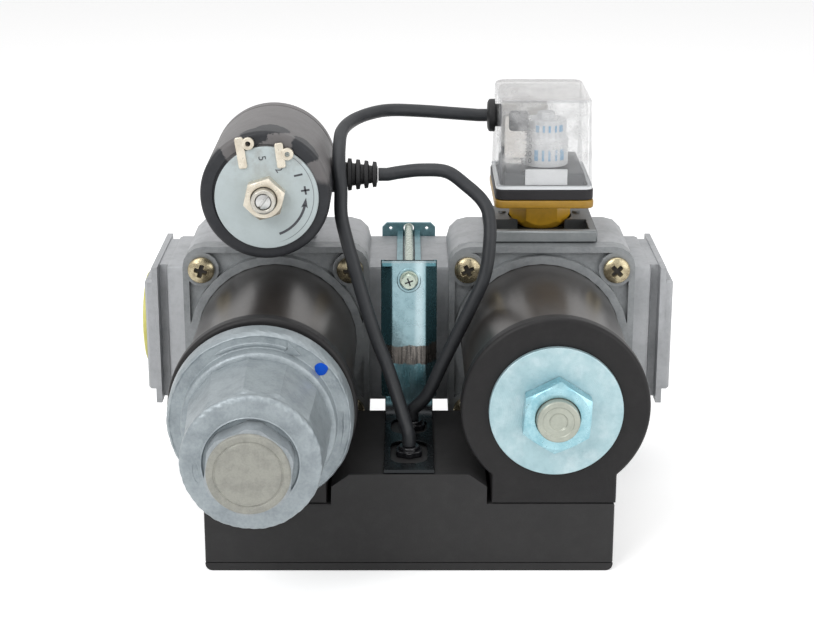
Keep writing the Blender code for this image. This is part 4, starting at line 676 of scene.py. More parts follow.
COIL_FACE = Finish(
    "coil_moulding", "black_plastic", (0.0125, 0.0118, 0.0125), (0.019, 0.018, 0.018), 0.024, 0.5, 0.44,
    0.06, 0.0, 0.0006, 0.00004, 0.01, 0.00006, 0.0, 0.1, (0.045, 0.045, 0.045), specular=0.22,
)
PILOT_MOULDING = PaintedSheenPlastic(
    "pilot_moulding", "black_plastic", (0.02, 0.021, 0.024), (0.036, 0.038, 0.042), 0.014, 0.6, 0.44,
    0.08, 0.0, 0.0006, 0.00005, 0.008, 0.0001, specular=0.25,
)
GLAND_PLASTIC = Finish(
    "gland_moulding", "black_plastic", (0.01, 0.01, 0.012), (0.022, 0.022, 0.026), 0.006, 0.5, 0.24, 0.08,
    0.0, 0.0005, 0.00002,
)
ZINC = TurnedMetal(
    "zinc_plating", "zinc", (0.38, 0.535, 0.57), (0.28, 0.42, 0.46), 0.01, 0.7, 0.42, 0.12, 0.45, 0.0007,
    0.00006, 0.005, 0.0001, 0.0, 0.35, (0.72, 0.8, 0.82), centre=(0.06, 0.072), pitch=0.0007,
    ring_depth=0.00001,
)
NUT_ZINC = Finish(
    "nut_plating", "zinc", (0.36, 0.58, 0.64), (0.17, 0.38, 0.45), 0.007, 0.8, 0.3, 0.12, 0.7, 0.0006,
    0.00004, 0.004, 0.00008,
)
BRACKET_ZINC = BandedZinc(
    "bracket_plating", "zinc", (0.29, 0.43, 0.47), (0.18, 0.3, 0.335), 0.008, 0.6, 0.26, 0.08, 0.7,
    0.0008, 0.00003, 0.01, 0.00012,
)
# A darker copy of the zinc plating: painted shade on the back plate.
REAR_ZINC_SHADED = Finish(
    "rear_bracket_shaded_plating", "zinc", (0.2, 0.36, 0.4), (0.1, 0.2, 0.23), 0.006, 0.8, 0.32, 0.1, 0.6,
    0.0008, 0.00003, 0.01, 0.00012,
)
PASSIVATED = Finish(
    "yellow_passivation", "screw", (0.47, 0.41, 0.27), (0.16, 0.12, 0.07), 0.003, 0.8, 0.24, 0.1, 0.8,
    0.0004, 0.00003,
)
# Near-black painted shade laid in the screws' cross recesses.
RECESS_SHADE = Finish(
    "recess_painted_shade", "rubber", (0.012, 0.01, 0.008), (0.03, 0.024, 0.018), 0.001, 0.6, 0.7, 0.05
)
BOLT_ZINC = Finish(
    "bolt_plating", "screw", (0.5, 0.56, 0.48), (0.34, 0.42, 0.36), 0.0022, 0.7, 0.28, 0.1, 0.6, 0.0004,
    0.00003,
)
CORE_STEEL = TurnedMetal(
    "core_steel", "steel", (0.4, 0.42, 0.36), (0.29, 0.31, 0.27), 0.006, 0.7, 0.36, 0.1, 0.4, 0.0005,
    0.00002, centre=(0.06, 0.072), pitch=0.0005, ring_depth=0.00001,
)
STEEL = Finish(
    "turned_steel", "steel", (0.55, 0.55, 0.54), (0.42, 0.42, 0.42), 0.006, 0.5, 0.28, 0.06, 0.9, 0.0004,
    0.00001,
)
SPRING_STEEL = Finish(
    "spring_wire", "spring", (0.42, 0.42, 0.43), (0.3, 0.3, 0.31), 0.004, 0.5, 0.34, 0.06, 0.9, 0.0004,
    0.00001,
)
BRASS = Finish(
    "pilot_brass", "brass", (0.68, 0.63, 0.53), (0.48, 0.42, 0.33), 0.0035, 0.7, 0.3, 0.1, 0.6, 0.0004,
    0.00002,
)
SLEEVE_METAL = TurnedMetal(
    "sleeve_metal", "brass", (0.52, 0.5, 0.45), (0.34, 0.32, 0.28), 0.003, 0.7, 0.3, 0.1, 0.8, 0.0004,
    0.00002, centre=(-0.06, 0.1519), pitch=0.0004, ring_depth=0.00001,
)
COPPER = Finish(
    "winding_copper", "copper", (0.55, 0.23, 0.11), (0.4, 0.15, 0.07), 0.005, 0.5, 0.35, 0.05, 0.9,
    0.0005, 0.00006, stretch=(1.0, 1.0, 1.0),
)
CABLE = Finish(
    "cable_sheath", "rubber", (0.022, 0.024, 0.027), (0.036, 0.038, 0.042), 0.02, 0.6, 0.44, 0.07, 0.0,
    0.0009, 0.00003, 0.008, 0.0001, 0.0, 0.15, (0.07, 0.07, 0.075), specular=0.3,
)
RUBBER = Finish(
    "black_rubber", "rubber", (0.012, 0.012, 0.013), (0.022, 0.022, 0.023), 0.006, 0.6, 0.52, 0.08, 0.0,
    0.0006, 0.00006, 0.003, 0.0001, specular=0.3,
)
GASKET = Finish(
    "gasket_rubber", "rubber", (0.022, 0.021, 0.023), (0.03, 0.029, 0.031), 0.01, 0.5, 0.55, 0.06, 0.0,
    0.0005, 0.00004, specular=0.25,
)
PLATE = ScaledDisc(
    "pilot_plate", "label", (0.44, 0.5, 0.51), (0.38, 0.43, 0.43), 0.01, 0.5, 0.4, 0.06, 0.1, 0.0006,
    0.00002,
)
INK = Finish(
    "plate_ink", "label", (0.05, 0.052, 0.06), (0.09, 0.09, 0.1), 0.003, 0.5, 0.6, 0.05, grain_depth=0.0
)
WHITE = Finish(
    "white_moulding", "white_plastic", (0.78, 0.79, 0.8), (0.66, 0.67, 0.69), 0.008, 0.5, 0.35, 0.06, 0.0,
    0.0006, 0.00002,
)
BLUE_INK = Finish(
    "blue_marks", "white_plastic", (0.28, 0.52, 0.76), (0.2, 0.42, 0.66), 0.003, 0.6, 0.5, 0.05
)
BEIGE = Finish(
    "beige_moulding", "white_plastic", (0.88, 0.84, 0.79), (0.8, 0.76, 0.72), 0.01, 0.5, 0.45, 0.06
)
MUSTARD = Finish(
    "mustard_moulding", "mustard", (0.36, 0.2, 0.017), (0.26, 0.14, 0.011), 0.01, 0.7, 0.36, 0.08, 0.0,
    0.0007, 0.00003, 0.006, 0.00008,
)
# A lighter copy of the mustard moulding: painted light on the hexagon and thread, against the shade of the
# plate above them.
MUSTARD_LIT = Finish(
    "mustard_lit_foot", "mustard", (0.78, 0.44, 0.03), (0.6, 0.33, 0.022), 0.01, 0.7, 0.36, 0.08, 0.0, 0.0007,
    0.00003, 0.006, 0.00008,
)
CLEAR = ScuffedClear(
    "clear_cover", "clear", (0.7, 0.71, 0.72), (0.74, 0.74, 0.74), 0.014, 0.5, 0.14, 0.08, 0.0, 0.0012,
    0.00002, 0.009, 0.00008,
)
YELLOW = Finish(
    "yellow_plug", "yellow", (0.64, 0.61, 0.18), (0.5, 0.46, 0.1), 0.012, 0.6, 0.42, 0.06, 0.0, 0.0007,
    0.00003, 0.007, 0.0001,
)
BLUE_PAINT = Finish(
    "inspection_paint", "die_cast", (0.003, 0.075, 0.5), (0.003, 0.05, 0.36), 0.002, 0.6, 0.45, 0.08,
    grain_depth=0.00005, specular=0.15,
)
DRUM = Finish(
    "drum_moulding", "white_plastic", (0.86, 0.87, 0.88), (0.78, 0.79, 0.81), 0.008, 0.5, 0.4, 0.06
)
FRAME = SplitPlastic(
    "switch_frame_moulding", "grey_plastic", (0.045, 0.048, 0.053), (0.08, 0.085, 0.092), 0.01, 0.6, 0.48,
    0.06, 0.0, 0.0006, 0.00003, specular=0.3,
)
SMOKED = Finish(
    "inner_block_plastic", "grey_plastic", (0.03, 0.031, 0.034), (0.06, 0.06, 0.065), 0.006, 0.6, 0.5,
    0.06
)


# Shape toolkit


@dataclass(frozen=True)
class Axis:
    """A directed line that pieces are turned about or stand on.

    Attributes:
        origin: The point at height zero.
        along: Unit direction in which heights count.
        across: Unit direction of angle zero. Angles turn from it towards ``along x across``.
    """

    origin: Point
    along: Point = (0.0, -1.0, 0.0)
    across: Point = (1.0, 0.0, 0.0)

    def at(self, x: Array, y: Array, height: Array) -> Array:
        """Points from flat values: origin + x across + y beside + height along.

        Args:
            x, y: Distances across the line.
            height: Distance along it.

        Returns:
            The points.
        """
        along, across = np.array(self.along), np.array(self.across)
        beside = np.cross(along, across)
        x, y, height = np.broadcast_arrays(x, y, height)
        flat = x[..., None] * across + y[..., None] * beside
        return np.array(self.origin) + flat + height[..., None] * along

    def round(self, radius: Array, angle: Array, height: Array) -> Array:
        """Points from polar values, with x = r cos a and y = r sin a."""
        return self.at(radius * np.cos(angle), radius * np.sin(angle), height)

    def point(self, radius: float, angle: float, height: float) -> Point:
        """One point from polar values."""
        return tuple(self.round(np.array(radius), np.array(angle), np.array(height)))


UP, OVER_X = (0.0, 0.0, 1.0), (1.0, 0.0, 0.0)
TO_RIGHT = {"along": (1.0, 0.0, 0.0), "across": (0.0, 1.0, 0.0)}
TO_LEFT = {"along": (-1.0, 0.0, 0.0), "across": (0.0, -1.0, 0.0)}


def filleted(corners: Sequence[tuple[float, ...]], closed: bool = False, steps: int = 5) -> Array:
    """Run a line through corners and round them.

    Each rounded corner is a quadratic curve from cut to cut: (1-t)^2 A + 2t(1-t) C + t^2 B.

    Args:
        corners: Two coordinates each, and for a rounded corner the length that is cut off both sides.
        closed: Whether the last corner leads back to the first.
        steps: Points per rounded corner, less one.

    Returns:
        The line's points, two coordinates each.
    """
    spots = np.array([corner[:2] for corner in corners])
    cuts = [corner[2] if len(corner) > 2 else 0.0 for corner in corners]
    line = []
    t = np.linspace(0, 1, steps + 1)[:, None]
    for i, (spot, cut) in enumerate(zip(spots, cuts)):
        inner = closed or 0 < i < len(spots) - 1
        if not cut or not inner:
            line.append(spot[None])
            continue
        before, after = spots[i - 1] - spot, spots[(i + 1) % len(spots)] - spot
        start = spot + before / np.linalg.norm(before) * cut
        end = spot + after / np.linalg.norm(after) * cut
        line.append((1 - t) ** 2 * start + 2 * t * (1 - t) * spot + t**2 * end)
    return np.vstack(line)


def rounded_box(width: float, depth: float, corner: float) -> Array:
    """Outline of a rectangle about the origin with round corners."""
    x, y = width / 2, depth / 2
    return filleted([(x, -y, corner), (x, y, corner), (-x, y, corner), (-x, -y, corner)], True, 6)


def polygon_radius(angle: Array, flat: float, sides: int, turn: float = 0.0) -> Array:
    """Distance to a polygon's side: flat / cos(a'), with a' the angle from the middle of that side."""
    sector = TURN / sides
    return flat / np.cos(np.mod(angle - turn + sector / 2, sector) - sector / 2)


def smooth(value: Array, start: float, end: float) -> Array:
    """Ease from 0 at start to 1 at end: 3t^2 - 2t^3."""
    t = np.clip((value - start) / (end - start), 0, 1)
    return t * t * (3 - 2 * t)


def weld(mesh: bpy.types.Mesh, distance: float) -> None:
    """Join points that lie closer than a distance and turn every face outward.

    Args:
        mesh: The mesh.
        distance: The distance, in metres.
    """
    work = bmesh.new()
    work.from_mesh(mesh)
    bmesh.ops.remove_doubles(work, verts=work.verts, dist=distance)
    bmesh.ops.recalc_face_normals(work, faces=work.faces)
    work.to_mesh(mesh)
    work.free()


def placed(name: str, data: bpy.types.ID) -> bpy.types.Object:
    """Put a mesh, curve, lamp or camera into the scene.

    Args:
        name: The object's name.
        data: What it shows.

    Returns:
        The object.
    """
    made = bpy.data.objects.new(name, data)
    bpy.context.scene.collection.objects.link(made)
    return made


@dataclass
class Form:
    """Grids of points that together make the surface of one piece.

    Attributes:
        name: The piece's name.
        points: The grids' points, one array each.
        quads: The grids' faces, one array each.
        count: Number of points so far.
    """

    name: str
    points: list[Array] = field(default_factory=list)
    quads: list[Array] = field(default_factory=list)
    count: int = 0

    def grid(self, points: Array, closed_rows: bool = False, closed_columns: bool = False) -> "Form":
        """Add a grid of points as a sheet of quads.

        Args:
            points: Array of rows, columns and three coordinates.
            closed_rows: Whether the last row joins the first.
            closed_columns: Whether the last column joins the first.

        Returns:
            The form itself.
        """
        rows, columns = points.shape[:2]
        index = np.arange(rows * columns).reshape(rows, columns) + self.count
        if closed_rows:
            index = np.vstack([index, index[:1]])
        if closed_columns:
            index = np.hstack([index, index[:, :1]])
        corners = (index[:-1, :-1], index[:-1, 1:], index[1:, 1:], index[1:, :-1])
        self.quads.append(np.stack(corners, -1).reshape(-1, 4))
        self.points.append(points.reshape(-1, 3))
        self.count += rows * columns
        return self

    def turned(
        self, axis: Axis, profile: Array, steps: int = 96, shape: Shape | None = None, start: float = 0.0
    ) -> "Form":
        """Add a surface of revolution: each profile point (radius, height) goes once round the axis.

        Args:
            axis: The line to turn about.
            profile: Points from pole to pole, or a loop clear of the axis.
            steps: Number of points round.
            shape: Optional change of (angle, radius, height) to new radii and heights.
            start: Angle of the first points.

        Returns:
            The form itself.
        """
        angle = start + np.linspace(0, TURN, steps, endpoint=False)[:, None] + np.zeros(len(profile))
        radius = np.zeros_like(angle) + profile[:, 0]
        height = np.zeros_like(angle) + profile[:, 1]
        if shape:
            radius, height = shape(angle, radius, height)
        loop = min(profile[0, 0], profile[-1, 0]) > 0
        return self.grid(axis.round(radius, angle, height), True, loop)

    def slab(self, axis: Axis, outline: Array, low: float, high: float, edge: float = 0.0) -> "Form":
        """Add an outline drawn out along an axis, with both ends rounded by a quarter circle.

        The caps are fans from the outline's middle, so the outline is seen whole from there.

        Args:
            axis: The outline's plane is square to it.
            outline: Loop of flat points.
            low: Height of the first cap.
            high: Height of the last one.
            edge: Radius of the rounded ends.

        Returns:
            The form itself.
        """
        before, after = np.roll(outline, 1, 0), np.roll(outline, -1, 0)
        sides = [np.stack([d[:, 1], -d[:, 0]], 1) for d in (outline - before, after - outline)]
        first, second = (s / np.maximum(np.linalg.norm(s, axis=1), 1e-12)[:, None] for s in sides)
        normal = first + second
        normal /= np.maximum((normal * first).sum(1), 0.35)[:, None]
        swing = np.linspace(0, math.pi / 2, 4)
        inset, rise = edge * (1 - np.sin(swing)), edge * (1 - np.cos(swing))
        insets, heights = np.append(inset, inset[::-1]), np.append(low + rise, high - rise[::-1])
        area = np.sum(before[:, 0] * outline[:, 1] - outline[:, 0] * before[:, 1])
        flat = outline[None] - math.copysign(1, area) * insets[:, None, None] * normal[None]
        middle = np.repeat(outline.mean(0)[None, None], len(outline), 1)
        flat = np.vstack([middle, flat, middle])
        heights = np.concatenate([[low], heights, [high]])
        return self.grid(axis.at(flat[..., 0], flat[..., 1], heights[:, None]), False, True)

    def swept(
        self, path: Array, section: Array, up: Point, closed: bool = False, scale: Array | None = None
    ) -> "Form":
        """Carry a section along a path that lies in a plane.

        Each point is path + x (up x tangent) + y up, for the section's (x, y).

        Args:
            path: Points of the path.
            section: Loop of flat points, or an open line for a strip.
            up: The plane's normal.
            closed: Whether the path is a loop.
            scale: Size of the section at each point of the path.

        Returns:
            The form itself.
        """
        if closed:
            tangent = np.roll(path, -1, 0) - np.roll(path, 1, 0)
        else:
            tangent = np.gradient(path, axis=0)
        tangent /= np.linalg.norm(tangent, axis=1)[:, None]
        side = np.cross(np.array(up), tangent)
        size = np.ones(len(path)) if scale is None else scale
        x, y = section[:, 0], section[:, 1]
        across = side[:, None] * x[None, :, None] + np.array(up) * y[None, :, None]
        return self.grid(path[:, None] + across * size[:, None, None], closed, True)

    def finish(
        self, finish: Finish, body: Body = Body.VALVE, stands_for: Sequence[str] = (), sharp: float = 34.0
    ) -> bpy.types.Object:
        """Make the piece, close its poles and seams, and hang it on its body.

        Args:
            finish: What it is finished in.
            body: The rigid body that it rides on.
            stands_for: The CAD nodes that it replaces.
            sharp: Angle in degrees above which an edge stays sharp.

        Returns:
            The new object.
        """
        mesh = bpy.data.meshes.new(self.name)
        mesh.from_pydata(np.vstack(self.points).tolist(), [], np.vstack(self.quads).tolist())
        weld(mesh, 2e-7)
        mesh.shade_smooth()
        mesh.set_sharp_from_angle(angle=math.radians(sharp))
        return settle(placed(self.name, mesh), finish, body, stands_for)


def settle(
    piece: bpy.types.Object, finish: Finish, body: Body = Body.VALVE, stands_for: Sequence[str] = ()
) -> bpy.types.Object:
    """Give a piece its material and its body, and hide the nodes that it stands for.

    Args:
        piece: The piece, already in its place.
        finish: What it is finished in.
        body: The rigid body that it rides on.
        stands_for: The CAD nodes that it replaces.

    Returns:
        The same piece.
    """
    piece.data.materials.clear()
    piece.data.materials.append(finish.material())
    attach(piece, body.value)
    if stands_for:
        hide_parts(*stands_for)
    LOG.info("%s in %s on %s", piece.name, finish.name, body.value)
    return piece


# Angle above which an edge of a CAD piece counts as sharp
SHARP = math.radians(38)


def refined(node: str, name: str, finish: Finish, edge: float = 0.0004) -> bpy.types.Object:
    """Stand a smooth, soft-edged copy in for a CAD node that rides on the valve.

    Args:
        node: The CAD node.
        name: The new piece's name.
        finish: What it is finished in.
        edge: Width of the bevel along its sharp edges.

    Returns:
        The new object.
    """
    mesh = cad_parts[node].data.copy()
    mesh.name = name
    for layer in ("custom_normal", "sharp_edge"):
        if layer in mesh.attributes:
            mesh.attributes.remove(mesh.attributes[layer])
    work = bmesh.new()
    work.from_mesh(mesh)
    bmesh.ops.remove_doubles(work, verts=work.verts, dist=2e-6)
    bmesh.ops.dissolve_limit(work, angle_limit=math.radians(0.4), verts=work.verts, edges=work.edges)
    work.to_mesh(mesh)
    work.free()
    mesh.shade_smooth()
    mesh.set_sharp_from_angle(angle=SHARP)
    piece = placed(name, mesh)
    bevel = piece.modifiers.new("soft_edge", "BEVEL")
    bevel.width = edge
    bevel.segments = 2
    bevel.limit_method = "ANGLE"
    bevel.angle_limit = SHARP
    bevel.harden_normals = True
    return settle(piece, finish, stands_for=[node])


def dress(finish: Finish, *nodes: str) -> None:
    """Give CAD nodes that stay a material of their own.

    Args:
        finish: The finish.
        nodes: Their names.
    """
    for node in nodes:
        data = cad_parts[node].data
        data.materials.clear()
        data.materials.append(finish.material())


def sprung(node: str, name: str, finish: Finish, body: Body) -> bpy.types.Object:
    """Stand a fixed copy in for a coil spring, which on the real valve shortens as the body at its rear end
    moves forward.

    Args:
        node: The CAD node.
        name: The new piece's name.
        finish: What it is finished in.
        body: The body at its rear end, only named in the log; its front end sits on the valve.

    Returns:
        The new object.
    """
    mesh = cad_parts[node].data.copy()
    mesh.name = name
    mesh.materials.clear()
    mesh.materials.append(finish.material())
    piece = placed(name, mesh)
    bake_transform(piece)
    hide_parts(node)
    LOG.info("%s in %s between %s and %s", name, finish.name, Body.VALVE.value, body.value)
    return piece


def words(name: str, text: str, axis: Axis, size: float, turn: float, thickness: float) -> bpy.types.Object:
    """Plain figures as a thin raised mesh on a plane.

    Args:
        name: The piece's name.
        text: The figures.
        axis: Origin and facing of the plane that they stand on.
        size: Height of the type.
        turn: Angle by which they are turned in the plane.
        thickness: How far they stand out.

    Returns:
        The object, with its place in its mesh.
    """
    curve = bpy.data.curves.new(name, "FONT")
    curve.body = text
    curve.size = size
    curve.align_x = "CENTER"
    curve.align_y = "CENTER"
    curve.extrude = thickness / 2
    holder = placed(name + "_type", curve)
    bpy.context.view_layer.update()
    mesh = bpy.data.meshes.new_from_object(holder.evaluated_get(bpy.context.evaluated_depsgraph_get()))
    bpy.data.objects.remove(holder)
    flat = np.zeros(len(mesh.vertices) * 3)
    mesh.vertices.foreach_get("co", flat)
    flat = flat.reshape(-1, 3)
    x = flat[:, 0] * math.cos(turn) - flat[:, 1] * math.sin(turn)
    y = flat[:, 0] * math.sin(turn) + flat[:, 1] * math.cos(turn)
    mesh.vertices.foreach_set("co", axis.at(x, y, flat[:, 2] + thickness / 2).ravel())
    weld(mesh, 1e-6)
    return placed(name, mesh)


# Fasteners


@dataclass(frozen=True)
class PanHeadScrew:
    """A machine screw with a domed head and a cross recess.

    Attributes:
        head_radius: Radius of the head.
        head_height: Height of the head.
        shank_radius: Radius of the shank.
        length: Length of the shank.
        recess: Half length of the cross's arms.
        arm: Half width of the arms.
        depth: Depth of the recess.
    """

    head_radius: float = 0.006
    head_height: float = 0.0036
    shank_radius: float = 0.00285
    length: float = 0.024
    recess: float = 0.0031
    arm: float = 0.00085
    depth: float = 0.0024

    def build(self, name: str, axis: Axis, turn: float, node: str) -> None:
        """Make the screw. Its dome is h cos(pi r / 2R)^0.6, less a cross whose floor falls to the middle.

        Args:
            name: The piece's name.
            axis: The screw's axis, with height zero under the head.
            turn: Angle of the cross.
            node: The CAD node that it stands for.
        """
        rim = self.head_height * 0.42
        shank = np.array([(0.0, -self.length), (self.shank_radius, -self.length), (self.shank_radius, 0.0)])
        side = filleted(
            [(self.shank_radius, 0.0), (self.head_radius, 0.0, 0.0003), (self.head_radius, rim)]
        )
        sweep = np.linspace(1, 0, 34)[1:]
        dome = np.stack([self.head_radius * sweep, rim + 0 * sweep], 1)
        profile = np.vstack([shank, side, dome])
        first = len(profile) - len(dome)

        def carve(angle: Array, radius: Array, height: Array) -> tuple[Array, Array]:
            """Raise the dome and sink the cross in it.

            Args:
                angle, radius, height: Polar values of every point.

            Returns:
                The new radius and height.
            """
            r = radius[:, first:]
            x, y = r * np.cos(angle[:, first:] - turn), r * np.sin(angle[:, first:] - turn)
            arch = np.cos(math.pi / 2 * np.clip(r / self.head_radius, 0, 1)) ** 0.6
            crown = (self.head_height - rim) * arch
            arms = np.zeros_like(r)
            for long, wide in ((np.abs(x), np.abs(y)), (np.abs(y), np.abs(x))):
                inside = smooth(wide, self.arm * 1.25, self.arm * 0.8)
                arms = np.maximum(arms, inside * smooth(long, self.recess, self.recess * 0.8))
            fall = 0.55 + 0.45 * (1 - np.clip(r / self.recess, 0, 1))
            height = height.copy()
            height[:, first:] = rim + crown - arms * fall * self.depth
            return radius, height

        Form(name).turned(axis, profile, 120, carve).finish(PASSIVATED, stands_for=[node])

    def darkening(self, form: Form, axis: Axis, turn: float) -> None:
        """Add painted shade in the bottom of the cross: a dark cross-shaped pad just above the recess's
        floor.

        Args:
            form: The form that it joins.
            axis: The screw's axis.
            turn: Angle of the cross.
        """
        long, wide = self.recess * 0.86, self.arm * 0.92
        quarter = np.array([(long, -wide), (long, wide), (wide, wide)])
        angle = turn + np.arange(4)[:, None] * math.pi / 2
        x, y = quarter[:, 0], quarter[:, 1]
        cos, sin = np.cos(angle), np.sin(angle)
        outline = np.stack([x * cos - y * sin, x * sin + y * cos], -1).reshape(-1, 2)
        low, high = self.head_height - self.depth, self.head_height - self.depth * 0.62
        form.slab(axis, outline, low, high)


@dataclass(frozen=True)
class HexPiece:
    """A hexagon nut or boss with turned corners.

    Attributes:
        flats: Distance across the flats.
        low: Height of its seat.
        high: Height of its front.
        bore: Radius of its bore, or 0.
        turn: Angle by which it is turned.
        chamfer: How far the turned chamfer reaches down the corners.
        corner: Radius that the corners are turned to, or 0 where they are sharp.
    """

    flats: float
    low: float
    high: float
    bore: float
    turn: float
    chamfer: float = 0.0012
    corner: float = 0.0

    def add(self, form: Form, axis: Axis) -> Form:
        """Add it to a form: a hexagon p(a) that meets the cone c at high - chamfer (p - c) / (corner - c).

        Args:
            form: The form that it joins.
            axis: The line that it is turned about.

        Returns:
            The same form.
        """
        flat = self.flats / 2
        rim, corner = flat * 0.975, self.corner or flat / math.cos(math.pi / 6)
        share = np.linspace(0, 1, 4)
        seat, wall, cone = slice(1, 2), slice(2, 6), slice(6, 10)
        outer = np.full((1 + 2 * len(share), 2), (rim, self.high))
        if self.bore:
            mouth = filleted([(rim, self.high), (self.bore, self.high, 0.0004), (self.bore, self.low)])[1:]
        else:
            mouth = np.array([(0.0, self.high)])
        profile = np.vstack([[(self.bore, self.low)], outer, mouth])

        def shape(angle: Array, radius: Array, height: Array) -> tuple[Array, Array]:
            """Lay the foot, the wall's rows and the cone's rows between their limits at each angle.

            Args:
                angle, radius, height: Polar values of every point.

            Returns:
                The new radius and height.
            """
            radius, height = radius.copy(), height.copy()
            side = np.minimum(polygon_radius(angle[:, :1], flat, 6, self.turn), corner)
            meet = self.high - self.chamfer * (side - rim) / (corner - rim)
            foot = self.low + 0.0002
            radius[:, seat], height[:, seat] = side - 0.0002, self.low
            radius[:, wall], height[:, wall] = side, foot + (meet - foot) * share
            radius[:, cone] = side + (rim - side) * share
            height[:, cone] = meet + (self.high - meet) * share
            return radius, height

        return form.turned(axis, profile, 180, shape, self.turn + math.pi / 6)


# Sub-assemblies


@dataclass(frozen=True)
class Casting:
    """The valve body, its two bonnets and their screws.

    Attributes:
        front_y: Y of the casting's front face.
        axis_z: Height of the coils' axes.
        pitch: Distance between those axes.
        square: Spacing of a bonnet's screws.
        seat: Height of the screws' seats, forward of the casting.
        turns: Angle of each screw's cross, before each side adds its own share.
    """

    front_y: float = 0.055
    axis_z: float = 0.072
    pitch: float = 0.12
    square: float = 0.067
    seat: float = 0.0093
    turns: tuple[float, ...] = (0.1, 0.45, 0.8, 0.3)

    def coil_axis(self, side: Side) -> Axis:
        """The axis of a station, with heights forward from the casting."""
        return Axis((side.value * self.pitch / 2, self.front_y, self.axis_z))

    def build(self) -> None:
        """Make the castings and the eight screws."""
        refined("valve_body", "body_casting", CAST, 0.0006)
        screw, darkening = PanHeadScrew(), Form("screw_recess_shade")
        half = self.square / 2
        corners = ((half, -half), (half, half), (-half, -half), (-half, half))
        for side in Side:
            refined(f"bonnet_{side.label}", f"bonnet_casting_{side.label}", BONNET_CAST, 0.0005)
            x = side.value * self.pitch / 2
            for i, (up, across) in enumerate(corners, 1):
                axis = Axis((x + across, self.front_y - self.seat, self.axis_z + up))
                turn = self.turns[i - 1] + 0.35 * side.value
                screw.build(f"screw_{side.label}_{i}", axis, turn, f"bonnet_screw_{side.label}_{i}")
                # Painted shade in the bottom of each cross recess.
                screw.darkening(darkening, axis, turn)
        darkening.finish(RECESS_SHADE)


